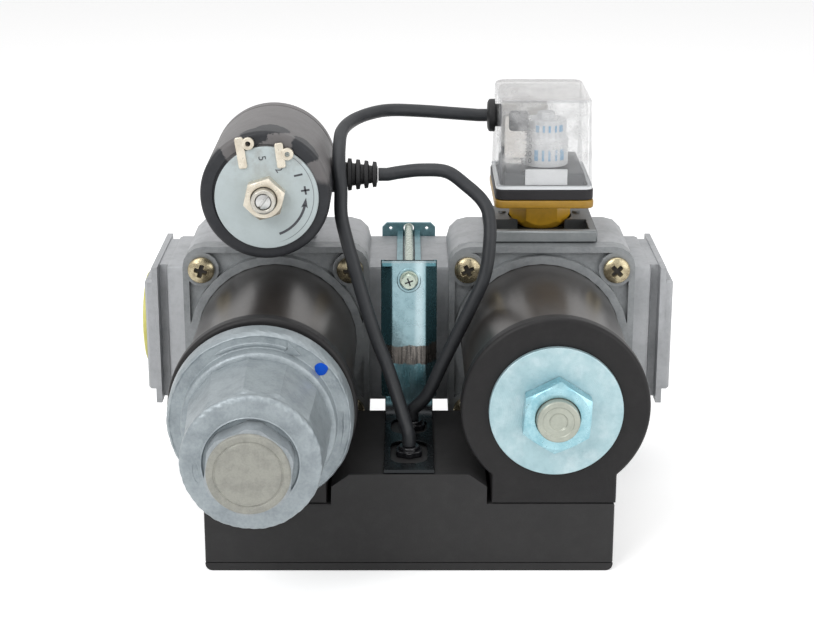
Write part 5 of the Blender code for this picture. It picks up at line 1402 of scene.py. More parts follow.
@dataclass(frozen=True)
class Coil:
    """One coil: its lacquered shell and the moulded front with the foot on the box.

    Attributes:
        side: The station that it sits on.
        shell_radius: Outer radius of the shell.
        shell_wall: Its wall.
        shell_low: Height of the shell's back end.
        shell_high: Height of its front end.
        face_radius: Radius of the moulded front ring.
        face_high: Height of its front.
        core_radius: Radius of the hole for the core tube.
        foot_width: Width of the foot.
        foot_depth: Depth of the foot.
        foot_low: Height of the foot's underside above the frame's origin.
    """

    side: Side
    shell_radius: float = 0.036
    shell_wall: float = 0.0025
    shell_low: float = 0.0063
    shell_high: float = 0.0937
    face_radius: float = 0.039
    face_high: float = 0.1
    core_radius: float = 0.0118
    foot_width: float = 0.052
    foot_depth: float = 0.03
    foot_low: float = 0.0308

    def build(self, casting: Casting) -> None:
        """Make the shell and the moulding.

        Args:
            casting: The valve body, which places the axis.
        """
        axis = casting.coil_axis(self.side)
        self.shell(axis)
        self.face(axis)

    def shell(self, axis: Axis) -> None:
        """A tube whose front edge is slightly rolled in.

        Args:
            axis: The coil's axis.
        """
        outer, inner = self.shell_radius, self.shell_radius - self.shell_wall
        low, high = self.shell_low, self.shell_high
        section = filleted(
            [(inner, low), (outer, low), (outer, high, 0.0006), (inner, high)], closed=True
        )
        Form(f"shell_{self.side.label}").turned(axis, section, 160).finish(
            SHELL, stands_for=[f"coil_shell_{self.side.label}"]
        )

    def face(self, axis: Axis) -> None:
        """The moulded front: one keyhole with a round edge, as wide as the ring or the foot's sides.

        Args:
            axis: The coil's axis.
        """
        base, front = self.shell_high + 0.0003, self.face_high
        spigot, back = self.shell_radius - self.shell_wall - 0.0003, self.shell_high - 0.0057
        swing = np.linspace(0, math.pi / 2, 6)
        rear = np.array([(self.core_radius, back), (spigot, back), (spigot, base)])
        edge = np.full((len(swing) + 1, 2), (self.face_radius, front))
        mouth = filleted(
            [(self.face_radius, front), (self.core_radius, front, 0.0006), (self.core_radius, back)]
        )
        profile = np.vstack([rear, edge, mouth[1:-1]])
        half, drop = self.foot_width / 2, axis.origin[2] - self.foot_low
        wall, bend = slice(3, 4), slice(4, 4 + len(swing))

        def shape(angle: Array, radius: Array, height: Array) -> tuple[Array, Array]:
            """Draw the outer rows out to the keyhole and round its free edge.

            Args:
                angle, radius, height: Polar values of every point.

            Returns:
                The new radius and height.
            """
            radius, height = radius.copy(), height.copy()
            a = angle[:, :1]
            side = half / np.maximum(np.abs(np.cos(a)), 1e-6)
            under = drop / np.maximum(-np.sin(a), 1e-6)
            skirt = np.maximum(self.face_radius, np.minimum(side, under))
            reach = np.where(np.sin(a) < 0, skirt, self.face_radius)
            round_edge = np.where(under <= side, 0.0005, 0.0018)
            radius[:, wall], height[:, wall] = reach, base
            radius[:, bend] = reach - round_edge * (1 - np.cos(swing))
            height[:, bend] = front - round_edge * (1 - np.sin(swing))
            return radius, height

        form = Form(f"coil_face_{self.side.label}").turned(axis, profile, 360, shape)
        self.foot(form, axis, -drop, base + 0.0005)
        form.finish(COIL_FACE, stands_for=[f"coil_housing_{self.side.label}"])

    def foot(self, form: Form, axis: Axis, bottom: float, high: float) -> None:
        """Add the foot behind the ring: strips from the shell's arch to the underside, closed at both ends.

        Args:
            form: The form that it belongs to.
            axis: The coil's axis.
            bottom: Its underside, measured from the axis.
            high: Height at which it ends inside the ring.
        """
        half = self.foot_width / 2
        across = np.linspace(-half, half, 60)
        hollow = self.shell_radius + 0.0004
        top = -np.sqrt(hollow**2 - across**2)
        edge = 0.0009
        past = np.clip(np.abs(across) - (half - edge), 0, edge)
        lift = edge - np.sqrt(np.maximum(edge**2 - past**2, 0))
        low = self.face_high - self.foot_depth
        heights = np.array([low, low + edge, high])
        inset = np.array([edge, 0.0, 0.0])
        rows = []
        for height, pull in zip(heights, inset):
            x, level = across * (1 - pull / half), np.full_like(across, height)
            under = np.stack([x, bottom + lift + pull, level], 1)
            arch = np.stack([x, top, level], 1)[::-1]
            rows.append(np.vstack([under, arch]))
        rows = np.array(rows)
        form.grid(axis.at(rows[..., 0], rows[..., 1], rows[..., 2]), False, True)
        for row in (rows[0], rows[-1]):
            cap = np.stack([row[:60], row[60:][::-1]])
            form.grid(axis.at(cap[..., 0], cap[..., 1], cap[..., 2]))


@dataclass(frozen=True)
class CoilClamp:
    """What holds the right coil: a broad washer, a nut and the end of the core.

    Attributes:
        nut_flats: Distance across the nut's flats.
        nut_height: Height of the nut.
        nut_turn: Angle by which it is turned.
        washer_radius: Outer radius of the washer.
        washer_low: Height of its back.
        washer_high: Height of its front.
        core_radius: Radius of the core's thread.
        core_high: Height of the core's end.
    """

    nut_flats: float = 0.027
    nut_height: float = 0.008
    nut_turn: float = math.radians(-3.5)
    washer_radius: float = 0.0275
    washer_low: float = 0.1003
    washer_high: float = 0.1028
    core_radius: float = 0.0088
    core_high: float = 0.115

    def build(self, casting: Casting) -> None:
        """Make the three pieces.

        Args:
            casting: The valve body, which places the axis.
        """
        axis = casting.coil_axis(Side.RIGHT)
        bore = self.core_radius + 0.0003
        washer = filleted([
            (bore, self.washer_low), (self.washer_radius, self.washer_low, 0.0003),
            (self.washer_radius, self.washer_high, 0.0006), (bore, self.washer_high, 0.0003),
        ], closed=True)
        Form("broad_washer").turned(axis, washer, 160).finish(ZINC, stands_for=["coil_washer"])
        low = self.washer_high + 0.0003
        nut = HexPiece(self.nut_flats, low, low + self.nut_height, bore, self.nut_turn, 0.0015)
        nut.add(Form("clamping_nut"), axis).finish(NUT_ZINC, stands_for=["coil_nut"], sharp=24)
        Form("core_right").turned(axis, self.tube(), 96).finish(CORE_STEEL, stands_for=["core_tube_right"])

    def tube(self) -> Array:
        """Half section of the core tube, from the pole inside it to the pole on its dimpled end.

        Returns:
            Radius and height of each point.
        """
        end = self.core_high
        return filleted([
            (0.0, 0.0563), (0.0105, 0.0563), (0.0105, 0.0006), (0.017, 0.0006), (0.017, 0.0026),
            (0.0115, 0.0026), (0.0115, 0.094), (self.core_radius, 0.094),
            (self.core_radius, end, 0.0011), (0.0064, end, 0.0003), (0.0062, end - 0.0004, 0.0002),
            (0.0038, end - 0.0004, 0.0003), (0.0034, end - 0.001, 0.0003), (0.0, end - 0.0012),
        ])


@dataclass(frozen=True)
class Damper:
    """The oil damper on the left coil, turned and faceted, with its screw cap.

    Attributes:
        low: Height of the seat on the coil.
        flange_low: Height of the flange's back.
        flange_high: Height of the flange's front.
        flange_radius: Radius of the flange.
        collar_radius: Radius of the round collar on the flange.
        collar_high: Height of the collar's front edge.
        foot_radius: Distance of the barrel's flats from the axis where they leave the collar.
        neck_radius: The same at the barrel's front.
        front: Height of the barrel's front ring.
        facets: Number of flats.
        facet_turn: Angle of one of the flats' middles.
        bore: Radius of the bore for the oil.
        floor: Height of the bore's floor.
        thread: Radius of the hole for the core's thread.
        seat_radius: Radius of the seat on the coil.
        ring_radius: Radius of the barrel's front ring.
        cap_radius: Radius of the cap's round face.
        cap_flats: Distance across the flats of the cap's hexagon.
        cap_corner: Radius that the hexagon's corners are turned to.
        cap_turn: Angle by which the hexagon is turned.
    """

    low: float = 0.1003
    flange_low: float = 0.1042
    flange_high: float = 0.1145
    flange_radius: float = 0.038
    collar_radius: float = 0.0311
    collar_high: float = 0.12
    foot_radius: float = 0.0287
    neck_radius: float = 0.0263
    front: float = 0.1594
    facets: int = 12
    facet_turn: float = math.radians(81)
    bore: float = 0.015
    floor: float = 0.117
    thread: float = 0.0091
    seat_radius: float = 0.0362
    ring_radius: float = 0.0271
    cap_radius: float = 0.016
    cap_flats: float = 0.0326
    cap_corner: float = 0.0174
    cap_turn: float = math.radians(53)

    def build(self, casting: Casting) -> None:
        """Make the housing, the cast arrow, the paint dot and the cap.

        Args:
            casting: The valve body, which places the axis.
        """
        axis = casting.coil_axis(Side.LEFT)
        self.housing(axis)
        self.arrow(axis)
        self.cap(axis)

    def housing(self, axis: Axis) -> None:
        """Flange, round collar, faceted barrel and front ring, with the casting's rough outer edges.

        Args:
            axis: The coil's axis.
        """
        high, front, ring, step = self.flange_high, self.front, self.ring_radius, self.collar_high
        shell = filleted([
            (self.thread, self.floor), (self.thread, self.low), (self.seat_radius, self.low, 0.0004),
            (self.seat_radius, self.flange_low, 0.0004),
            (self.flange_radius - 0.0002, self.flange_low, 0.0008),
            (self.flange_radius - 0.0002, high - 0.0026, 0.0012), (0.0367, high, 0.0006),
            (0.036, high - 0.0003, 0.0003), (self.collar_radius + 0.0002, high - 0.0003, 0.0005),
            (self.collar_radius, step, 0.0007), (self.collar_radius - 0.0013, step + 0.0007, 0.0003),
        ])
        levels = np.linspace(step + 0.0008, front - 0.0052, 30)
        share = (levels - levels[0]) / np.ptp(levels)
        barrel = np.stack([self.foot_radius + (self.neck_radius - self.foot_radius) * share, levels], 1)
        nose = filleted([
            (self.neck_radius + 0.0002, front - 0.0047), (ring, front - 0.004, 0.0006),
            (ring + 0.0002, front - 0.0012, 0.0009), (ring - 0.0016, front - 0.0002, 0.0008),
            (0.0191, front, 0.0002), (0.0186, front + 0.0003, 0.0002), (0.0182, front - 0.0002, 0.0002),
            (0.0182, front - 0.0011), (self.bore, front - 0.0011), (self.bore, self.floor),
        ])
        profile = np.vstack([shell, barrel, nose])
        rows = slice(len(shell), len(shell) + len(barrel))

        def shape(angle: Array, radius: Array, height: Array) -> tuple[Array, Array]:
            """Facet the barrel between its ends, and roughen the rims of flange and ring as cast.

            Args:
                angle, radius, height: Polar values of every point.

            Returns:
                The new radius and height.
            """
            facet = polygon_radius(angle[:, rows], 1.0, self.facets, self.facet_turn)
            strength = smooth(share, 0.0, 0.04) * (1 - 0.85 * smooth(share, 0.92, 1.0))
            rim = smooth(radius, 0.0352, 0.0372) * smooth(height, high - 0.007, high - 0.003)
            rim = rim + smooth(height, front - 0.0034, front - 0.001) * smooth(radius, 0.0235, 0.0262)
            wave = np.sin(angle * 7 + 1.3) + 0.8 * np.sin(angle * 19 + 0.4)
            wave = wave + 0.7 * np.sin(angle * 43 + height * 2600)
            radius = radius - 0.00011 * rim * (wave + 1.5)
            radius[:, rows] *= 1 + (facet - 1.0) * strength
            return radius, height - 0.0001 * rim * np.roll(wave, 9, 0)

        Form("damper_barrel").turned(axis, profile, 360, shape).finish(
            DAMPER_CAST, Body.DAMPER, ["damper_housing"], 24
        )

    def arrow(self, axis: Axis) -> None:
        """The curved arrow cast on the flange, a small raised bar and the dab of blue paint.

        Args:
            axis: The coil's axis.
        """
        face, radius = self.flange_high - 0.0003, 0.033
        form = Form("cast_arrow")
        bead = filleted([
            (-0.0009, -0.0001), (-0.0006, 0.0006, 0.0003), (0.0006, 0.0006, 0.0003), (0.0009, -0.0001),
        ], True)
        taper = np.linspace(0.2, 1, 6)
        sweep = np.radians(np.linspace(122, 70, 50))
        path = axis.round(radius, sweep, np.full_like(sweep, face - 0.0001))
        form.swept(path, bead, axis.along, scale=np.append(taper, np.ones(44)))
        head = np.array([(-0.0026, 0.0), (0.0018, 0.0017), (0.001, 0.0), (0.0018, -0.0017)])
        tip = math.radians(66)
        spot = axis.point(radius, tip, face - 0.0001)
        place = Axis(spot, across=(-math.sin(tip), 0.0, math.cos(tip)))
        form.slab(place, head * 1.6, 0.0, 0.0007, 0.0002)
        bar = np.radians(np.linspace(8, -22, 24))
        path = axis.round(0.034, bar, np.full_like(bar, face - 0.0001))
        form.swept(path, bead * 0.8, axis.along, scale=np.append(taper, np.linspace(1, 0.2, 18)))
        form.finish(DAMPER_CAST, Body.DAMPER)
        spot = axis.point(0.0337, math.radians(42.0), face)
        drop = filleted([(0.0, -0.0004), (0.0027, -0.0004), (0.0026, 0.0004, 0.0003), (0.0, 0.0008)])
        Form("paint_dab").turned(Axis(spot), drop, 40, self.blot).finish(BLUE_PAINT, Body.DAMPER)
        turn = np.linspace(0, TURN, 48, endpoint=False)
        lobe = math.radians(190) + 0.0042 * np.cos(turn) / 0.0212
        path = axis.round(0.0213 + 0.0011 * np.sin(turn), lobe, np.full_like(turn, self.front - 0.0003))
        Form("gate_mark").swept(path, bead * 0.55, axis.along, closed=True).finish(DAMPER_CAST, Body.DAMPER)

    @staticmethod
    def blot(angle: Array, radius: Array, height: Array) -> tuple[Array, Array]:
        """Make a round drop uneven."""
        return radius * (1 + 0.05 * np.sin(3 * angle + 0.6) + 0.02 * np.sin(5 * angle)), height

    def cap(self, axis: Axis) -> None:
        """The screw cap: a hexagon, a round face with a shallow ring, and its spigot in the barrel.

        Args:
            axis: The coil's axis.
        """
        base, top = self.front - 0.001, self.front + 0.0107
        size, high = self.cap_flats, top - 0.0018
        nut = HexPiece(size, base, high, 0.0, self.cap_turn, 0.0005, self.cap_corner)
        nut.add(Form("cap_hexagon"), axis).finish(HEXAGON_CAST, Body.DAMPER, sharp=16)
        form = Form("screw_cap")
        face = filleted([
            (0.0, top - 0.0024), (self.cap_radius, top - 0.0024), (self.cap_radius, top, 0.0011),
            (0.0134, top - 0.0001, 0.0003), (0.0131, top - 0.0005, 0.0002),
            (0.0127, top - 0.0005, 0.0002), (0.0124, top - 0.0001, 0.0003), (0.0, top - 0.0002),
        ])
        form.turned(axis, face, 160)
        spigot = np.array(
            [(0.0, base - 0.004), (0.0147, base - 0.004), (0.0147, base + 0.001), (0.0, base + 0.001)]
        )
        form.turned(axis, spigot, 64)
        form.finish(CAP_CAST, Body.DAMPER, ["damper_cap"], 26)


@dataclass(frozen=True)
class Box:
    """The terminal box with its lid, glands and terminal strip.

    Attributes:
        rise_top: Height of the raised middle, which the glands stand on.
        glands: Places of the two glands, in plan.
    """

    rise_top: float = 0.0435
    glands: tuple[tuple[str, float, float], ...] = (
        ("gland_front", 0.0, -0.0225), ("gland_rear", 0.0015, 0.009)
    )

    def build(self) -> None:
        """Make the box's pieces."""
        refined("terminal_box", "box_shell", BLACK, 0.0007)
        refined("box_cover", "box_lid", BLACK, 0.0005)
        refined("terminal_strip", "strip_of_terminals", WHITE, 0.0003)
        for node, x, y in self.glands:
            base = self.rise_top + 0.0003
            axis = Axis((x, y, base), UP, OVER_X)
            section = filleted([
                (0.0, -0.0038), (0.0032, -0.0038), (0.0032, 0.0), (0.006, 0.0, 0.0002),
                (0.006, 0.0022, 0.0004), (0.0046, 0.0022, 0.0002), (0.0045, 0.0038, 0.0006),
                (0.0, 0.0037),
            ])
            Form(node + "_body").turned(axis, section, 72, self.grip).finish(
                GLAND_PLASTIC, stands_for=[node]
            )

    @staticmethod
    def grip(angle: Array, radius: Array, height: Array) -> tuple[Array, Array]:
        """Flats round the lower collar, as a soft hexagon."""
        collar = smooth(radius, 0.0046, 0.0052)
        return radius * (1 - 0.06 * collar * (1 + np.cos(6 * angle))), height


@dataclass(frozen=True)
class Brackets:
    """The bent front bracket, the plate behind the body and the bolt that joins them.

    Attributes:
        face_y: Y of the front bracket's face.
        bolt_z: Height of the bolt.
    """

    face_y: float = 0.022
    bolt_z: float = 0.1078

    def build(self) -> None:
        """Make both brackets, the bead round the bolt, the washer and the bolt."""
        refined("front_bracket", "bent_bracket", BRACKET_ZINC, 0.0004)
        refined("rear_bracket", "back_plate", REAR_ZINC_SHADED, 0.0003)
        axis = Axis((0.0, self.face_y, self.bolt_z))
        sweep = np.linspace(0, TURN, 72, endpoint=False)
        path = axis.at(0.0046 * np.cos(sweep), -0.0004 + 0.0049 * np.sin(sweep), np.zeros_like(sweep))
        bead = filleted([
            (-0.0008, -0.0002), (-0.0006, 0.0003, 0.0003), (0.0006, 0.0003, 0.0003), (0.0008, -0.0002),
        ], True)
        Form("bolt_bead").swept(path, bead, axis.along, closed=True).finish(BRACKET_ZINC)
        washer = filleted(
            [(0.0025, 0.0003), (0.004, 0.0003), (0.004, 0.0011, 0.0003), (0.0025, 0.0011)], True
        )
        Form("bolt_washer").turned(axis, washer, 64).finish(BOLT_ZINC, stands_for=["clamp_washer"])
        form = HexPiece(0.0062, 0.0014, 0.0042, 0.0, math.radians(4), 0.0007).add(Form("long_bolt"), axis)
        shank = np.array(
            [(0.0, -0.0935), (0.0016, -0.0938), (0.002, -0.093), (0.002, 0.002), (0.0, 0.002)]
        )
        form.turned(axis, shank, 40)
        form.finish(BOLT_ZINC, stands_for=["clamp_bolt"], sharp=26)
        self.recess(axis)

    def recess(self, axis: Axis) -> None:
        """The cross in the bolt's head, shown as two thin dark bars of painted shade.

        Args:
            axis: The bolt's axis.
        """
        form = Form("bolt_cross_shade")
        for turn in (0.35, 0.35 + math.pi / 2):
            arm = np.array([(-0.0019, -0.00035), (0.0019, -0.00035), (0.0019, 0.00035), (-0.0019, 0.00035)])
            place = Axis(
                (0.0, self.face_y - 0.00395, self.bolt_z), across=(math.cos(turn), 0.0, math.sin(turn))
            )
            form.slab(place, arm, 0.0, 0.0003, 0.0001)
        form.finish(GLAND_PLASTIC)


@dataclass(frozen=True)
class Pilot:
    """The pilot solenoid: casting, coil, scaled disc, nut, sleeve, screw and the lead's boot.

    Attributes:
        origin: Where its axis meets the plane of the coil's back.
        radius: Radius of the coil.
        length: Length of the coil.
        disc_radius: Radius of the disc.
        disc_shift: How far the disc sits to the right of the axis and above it.
        reach: How far the sleeve stands out in front of the coil.
        bore: Radius of the hole for the sleeve.
        screw_radius: Radius of the regulating screw.
        boot_x: X at which the boot starts.
        boot_y: Y of the boot's axis.
        boot_length: Length of the boot.
    """

    origin: Point = (-0.06, 0.06, 0.1519)
    radius: float = 0.0273
    length: float = 0.0647
    disc_radius: float = 0.0217
    disc_shift: tuple[float, float] = (0.0007, -0.0006)
    reach: float = 0.0116
    bore: float = 0.0055
    screw_radius: float = 0.00305
    boot_x: float = -0.03
    boot_y: float = 0.035
    boot_length: float = 0.0163

    @property
    def axis(self) -> Axis:
        """The pilot's axis, with heights forward from the coil's back."""
        return Axis(self.origin)

    def build(self) -> None:
        """Make the pilot's pieces."""
        refined("pilot_body", "pilot_casting", CAST, 0.0006)
        self.coil()
        self.disc()
        self.fittings()
        self.boot()

    def coil(self) -> None:
        """The moulded coil with a seam near its back, and the lug that the boot stands on."""
        rim, front = self.radius, self.length
        section = filleted([
            (self.bore, 0.0), (rim, 0.0, 0.001), (rim, 0.0068, 0.0002), (rim - 0.0007, 0.0072, 0.0001),
            (rim - 0.0007, 0.008, 0.0001), (rim, 0.0084, 0.0002), (rim, front, 0.0024),
            (self.disc_radius + 0.0003, front, 0.0002), (self.disc_radius + 0.0003, front - 0.0007),
            (self.bore, front - 0.0007),
        ], closed=True)
        form = Form("pilot_moulding").turned(self.axis, section, 160)
        start = self.origin[0] + rim * 0.7
        lug = Axis((start, self.boot_y, self.origin[2]), **TO_RIGHT)
        reach = self.boot_x - 0.0003 - start
        form.turned(lug, filleted([(0.0, 0.0), (0.0078, 0.0), (0.0078, reach, 0.0006), (0.0, reach)]), 72)
        form.finish(PILOT_MOULDING, stands_for=["pilot_coil"])

    def disc(self) -> None:
        """The pale disc and what is printed on it: an arrow, a plus, a minus and figures."""
        low = self.length - 0.0004
        high = low + 0.0016
        section = filleted([
            (0.0068, low), (self.disc_radius, low), (self.disc_radius, high, 0.0004),
            (0.0068, high, 0.0003),
        ], closed=True)
        right, up = self.disc_shift
        seat = Axis((self.origin[0] + right, self.origin[1], self.origin[2] + up))
        Form("scaled_disc").turned(seat, section, 160).finish(PLATE, stands_for=["pilot_disc"])
        self.marks(high)
        self.terminals(high)

    def marks(self, face: float) -> None:
        """Print the marks as shapes a tenth of a millimetre thick.

        Args:
            face: Height of the disc's face.
        """
        axis = self.axis
        thick = 0.0001
        form = Form("disc_marks")
        radius = 0.017
        sweep = np.radians(np.linspace(-70, -12, 48))
        path = axis.round(radius, sweep, np.full_like(sweep, face))
        line = np.array([(-0.00052, 0.0), (-0.00052, thick), (0.00052, thick), (0.00052, 0.0)])
        form.swept(path, line, axis.along)
        for spot, turn, outline in self.glyphs(radius):
            place = Axis(axis.point(*spot, face), across=(math.cos(turn), 0.0, math.sin(turn)))
            form.slab(place, np.array(outline), 0.0, thick)
        form.finish(INK)
        figures = (("2", 0.013, 62.0, -58.0), ("5", 0.0163, 93.0, -80.0))
        for i, (text, away, angle, turn) in enumerate(figures, 1):
            place = Axis(axis.point(away, math.radians(angle), face))
            settle(words(f"disc_figure_{i}", text, place, 0.0044, math.radians(turn), thick), INK)

    @staticmethod
    def glyphs(radius: float) -> list[tuple[tuple[float, float], float, list[tuple[float, float]]]]:
        """Arrowhead, plus and minus.

        Args:
            radius: Radius on which the arrow runs.

        Returns:
            Polar place, turn and outline of each.
        """
        tip = math.radians(-9)
        head = [(-0.0022, -0.0014), (-0.0012, 0.0), (-0.0022, 0.0014), (0.0022, 0.0)]
        arm, half = 0.0018, 0.0004
        bar = [(-arm, -half), (arm, -half), (arm, half), (-arm, half)]
        plus, minus = math.radians(9), math.radians(33)
        return [
            ((radius, tip), tip + math.pi / 2, head),
            ((radius + 0.0001, plus), plus, bar),
            ((radius + 0.0001, plus), plus + math.pi / 2, bar),
            ((radius - 0.0002, minus), minus - 0.35, bar),
        ]

    def terminals(self, face: float) -> None:
        """Two small cream-coloured posts that stand through the disc near its upper edge.

        Args:
            face: Height of the disc's face.
        """
        form = Form("disc_posts")
        posts = ((117.0, 0.0208, 0.14, 0.0132, 0.004), (69.0, 0.0188, 0.12, 0.0106, 0.0006))
        for angle, radius, lean, tall, rise in posts:
            spot = self.axis.point(radius, math.radians(angle), face)
            post = Axis(spot, across=(math.cos(lean), 0.0, math.sin(lean)))
            form.slab(post, rounded_box(0.0036, tall, 0.0011), -0.0004, 0.0011, 0.0003)
            eye = Axis((spot[0] + 0.003, spot[1], spot[2] + rise))
            ring = filleted(
                [(0.0011, -0.0004), (0.0026, -0.0004), (0.0026, 0.0014, 0.0005), (0.0011, 0.0012)], True
            )
            form.turned(eye, ring, 40)
        form.finish(BRASS)

    def fittings(self) -> None:
        """Nut, sleeve and the slotted screw in the sleeve's end."""
        axis = self.axis
        base = self.length - 0.0004
        nut = HexPiece(0.0157, base, base + 0.0076, self.bore, math.radians(-13))
        nut.add(Form("thin_nut"), axis).finish(BRASS, stands_for=["pilot_nut"], sharp=24)
        nose = self.length + self.reach
        sleeve = filleted([
            (0.0, 0.0138), (0.004, 0.0138), (0.004, -0.019), (0.0052, -0.019), (0.0052, nose, 0.0009),
            (0.0036, nose, 0.0003), (0.0034, nose - 0.0005), (0.0034, nose - 0.0068),
            (0.0, nose - 0.0068),
        ])
        Form("pilot_tube").turned(axis, sleeve, 96).finish(SLEEVE_METAL, stands_for=["pilot_sleeve"])
        top, turn = nose - 0.0005, math.radians(55)
        levels = np.linspace(1, 0, 30)
        head = np.stack([self.screw_radius * levels, np.full_like(levels, top)], 1)
        profile = np.vstack([[(0.0, top - 0.006), (self.screw_radius, top - 0.006)], head])

        def slot(angle: Array, radius: Array, height: Array) -> tuple[Array, Array]:
            """Round the head's edge and sink a straight slot across it.

            Args:
                angle, radius, height: Polar values of every point.

            Returns:
                The new radius and height.
            """
            height = height.copy()
            r = radius[:, 2:]
            off = np.abs(r * np.sin(angle[:, 2:] - turn))
            dome = 0.0004 * (1 - (r / self.screw_radius) ** 2) - 0.0003
            height[:, 2:] += dome - 0.0011 * smooth(off, 0.0005, 0.00038)
            return radius, height

        Form("slotted_screw").turned(axis, profile, 120, slot).finish(
            STEEL, Body.REGULATOR, ["regulator_screw"]
        )

    def boot(self) -> None:
        """The ribbed strain relief: its radius swells at each rib and tapers to the lead."""
        axis = Axis((self.boot_x, self.boot_y, self.origin[2]), **TO_RIGHT)
        height = np.linspace(0, self.boot_length, 90)
        share = height / height[-1]
        back, front = 0.0076, 0.0054
        envelope = back + (front - back) * share
        ribs = smooth(np.sin(share * TURN * 4.5 + 0.6), -0.35, 0.25)
        radius = envelope - 0.0019 * (1 - ribs)
        profile = np.vstack([[(0.0, 0.0)], np.stack([radius, height], 1), [(0.0, height[-1])]])
        Form("ribbed_boot").turned(axis, profile, 72).finish(RUBBER, stands_for=["lead_boot"], sharp=60)


@dataclass(frozen=True)
class PressureSwitch:
    """The pressure switch: mounting block, base, gasket, clear cover and what shows through it.

    Attributes:
        centre: Plan place of its middle.
        width: Width of the base.
        depth: Depth of the base.
        base_low: Height of the base plate's underside.
        cover_low: Height of the cover's rim.
        cover_high: Height of its top.
        wall: The cover's wall.
        draft: How far its walls lean in.
        grommet_z: Height of the grommet's axis.
    """

    centre: tuple[float, float] = (0.0611, 0.083)
    width: float = 0.045
    depth: float = 0.056
    base_low: float = 0.1313
    cover_low: float = 0.14
    cover_high: float = 0.181
    wall: float = 0.0018
    draft: float = 0.0011
    grommet_z: float = 0.1687

    def build(self) -> None:
        """Make the switch's pieces."""
        refined("switch_mount", "switch_block", MACHINED, 0.0004)
        refined("switch_gasket", "square_gasket", GASKET, 0.0003)
        self.base()
        self.cover()
        refined("switch_frame", "inner_frame", FRAME, 0.0004)
        self.dial()
        self.inside()
        self.grommet()

    def base(self) -> None:
        """The yellow base: a plate with round edges, and as a second piece the hexagon and thread below, in
        a lighter copy of its finish that paints light against the plate's shade.
        """
        axis = Axis((*self.centre, 0.0), UP, OVER_X)
        form, plate = Form("yellow_base"), rounded_box(self.width, self.depth, 0.0045)
        form.slab(axis, plate, self.base_low, self.base_low + 0.0037, 0.0009)
        form.finish(MUSTARD, stands_for=["switch_base"], sharp=24)
        form = Form("base_hexagon")
        flat, tip, low, high = 0.0123, 0.0098, 0.1174, self.base_low + 0.001
        heights = np.concatenate([np.linspace(low, low + 0.0046, 12), [high]])
        outer = np.stack([np.full_like(heights, flat), heights], 1)
        profile = np.vstack([[(0.0, low)], outer, [(0.0, high)]])
        corner = flat / math.cos(math.pi / 6)

        def shape(angle: Array, radius: Array, height: Array) -> tuple[Array, Array]:
            """A hexagon whose lower corners are turned down to a cone.

            Args:
                angle, radius, height: Polar values of every point.

            Returns:
                The new radius and height.
            """
            radius = radius.copy()
            rows = slice(1, -1)
            rise = np.clip((height[:, rows] - low) / 0.0045, 0, 1)
            cone = tip + (corner - tip) * rise**0.8
            radius[:, rows] = np.minimum(polygon_radius(angle[:, rows], flat, 6, math.pi / 6), cone)
            return radius, height

        form.turned(axis, profile, 180, shape)
        thread = filleted([(0.0, 0.104), (0.0065, 0.104, 0.0006), (0.0065, 0.119), (0.0, 0.119)])
        form.turned(axis, thread, 64)
        form.finish(MUSTARD_LIT, sharp=24)

    def walls(
        self, width: float, depth: float, corner: float, low: float, high: float, edge: float
    ) -> Array:
        """Rows of a drafted box: straight walls that lean in, a rounded top edge and a level top.

        Args:
            width: Width at the lower end.
            depth: Depth there.
            corner: Corner radius.
            low: Height of the lower end.
            high: Height of the top.
            edge: Radius of the top edge.

        Returns:
            Grid of rows by points round, three coordinates each.
        """
        swing = np.linspace(0, math.pi / 2, 6)
        levels = np.concatenate([np.linspace(low, high - edge, 8), high - edge + edge * np.sin(swing[1:])])
        lean = self.draft * np.linspace(0, 1, 8)
        pull = np.concatenate([lean, self.draft + edge * (1 - np.cos(swing[1:]))])
        rows = []
        for level, inset in zip(levels, pull):
            outline = rounded_box(width - 2 * inset, depth - 2 * inset, corner)
            rows.append(np.column_stack([outline, np.full(len(outline), level)]))
        rows.append(np.column_stack([outline * 0.5, np.full(len(outline), high)]))
        rows.append(np.column_stack([outline * 0.0, np.full(len(outline), high)]))
        return np.array(rows)

    def cover(self) -> None:
        """The clear cover: outer and inner walls, joined round the rim."""
        width, depth, wall = self.width - 0.0014, self.depth - 0.0014, self.wall
        low, high = self.cover_low, self.cover_high
        outer = self.walls(width, depth, 0.0045, low, high, 0.002)
        inner = self.walls(width - 2 * wall, depth - 2 * wall, 0.0036, low, high - wall, 0.0014)
        points = np.vstack([inner[::-1], outer]) + np.array([*self.centre, 0.0])
        Form("clear_hood").grid(points, False, True).finish(CLEAR, stands_for=["switch_cover"], sharp=50)

    def dial(self) -> None:
        """The white drum with its fluted grip, hub, slot and blue marks."""
        x, y = self.centre[0] + 0.0015, self.centre[1] - 0.007
        low = self.cover_low + 0.0078
        high = low + 0.021
        axis = Axis((x, y, 0.0), UP, OVER_X)
        drum = filleted([
            (0.0, low), (0.0103, low, 0.0004), (0.0103, low + 0.012, 0.0003),
            (0.0094, low + 0.0128, 0.0003), (0.0094, high, 0.0008), (0.004, high, 0.0003),
            (0.004, high + 0.003, 0.0005), (0.0, high + 0.003),
        ])

        def flutes(angle: Array, radius: Array, height: Array) -> tuple[Array, Array]:
            """Shallow grip flutes round the upper part of the drum.

            Args:
                angle, radius, height: Polar values of every point.

            Returns:
                The new radius and height.
            """
            grip = smooth(radius, 0.0085, 0.0092) * smooth(height, low + 0.0125, low + 0.0135)
            slot = smooth(np.abs(radius * np.sin(angle)), 0.0008, 0.0006) * (height > high + 0.0028)
            return radius - 0.0003 * grip * (1 + np.cos(24 * angle)) / 2, height - 0.0012 * slot

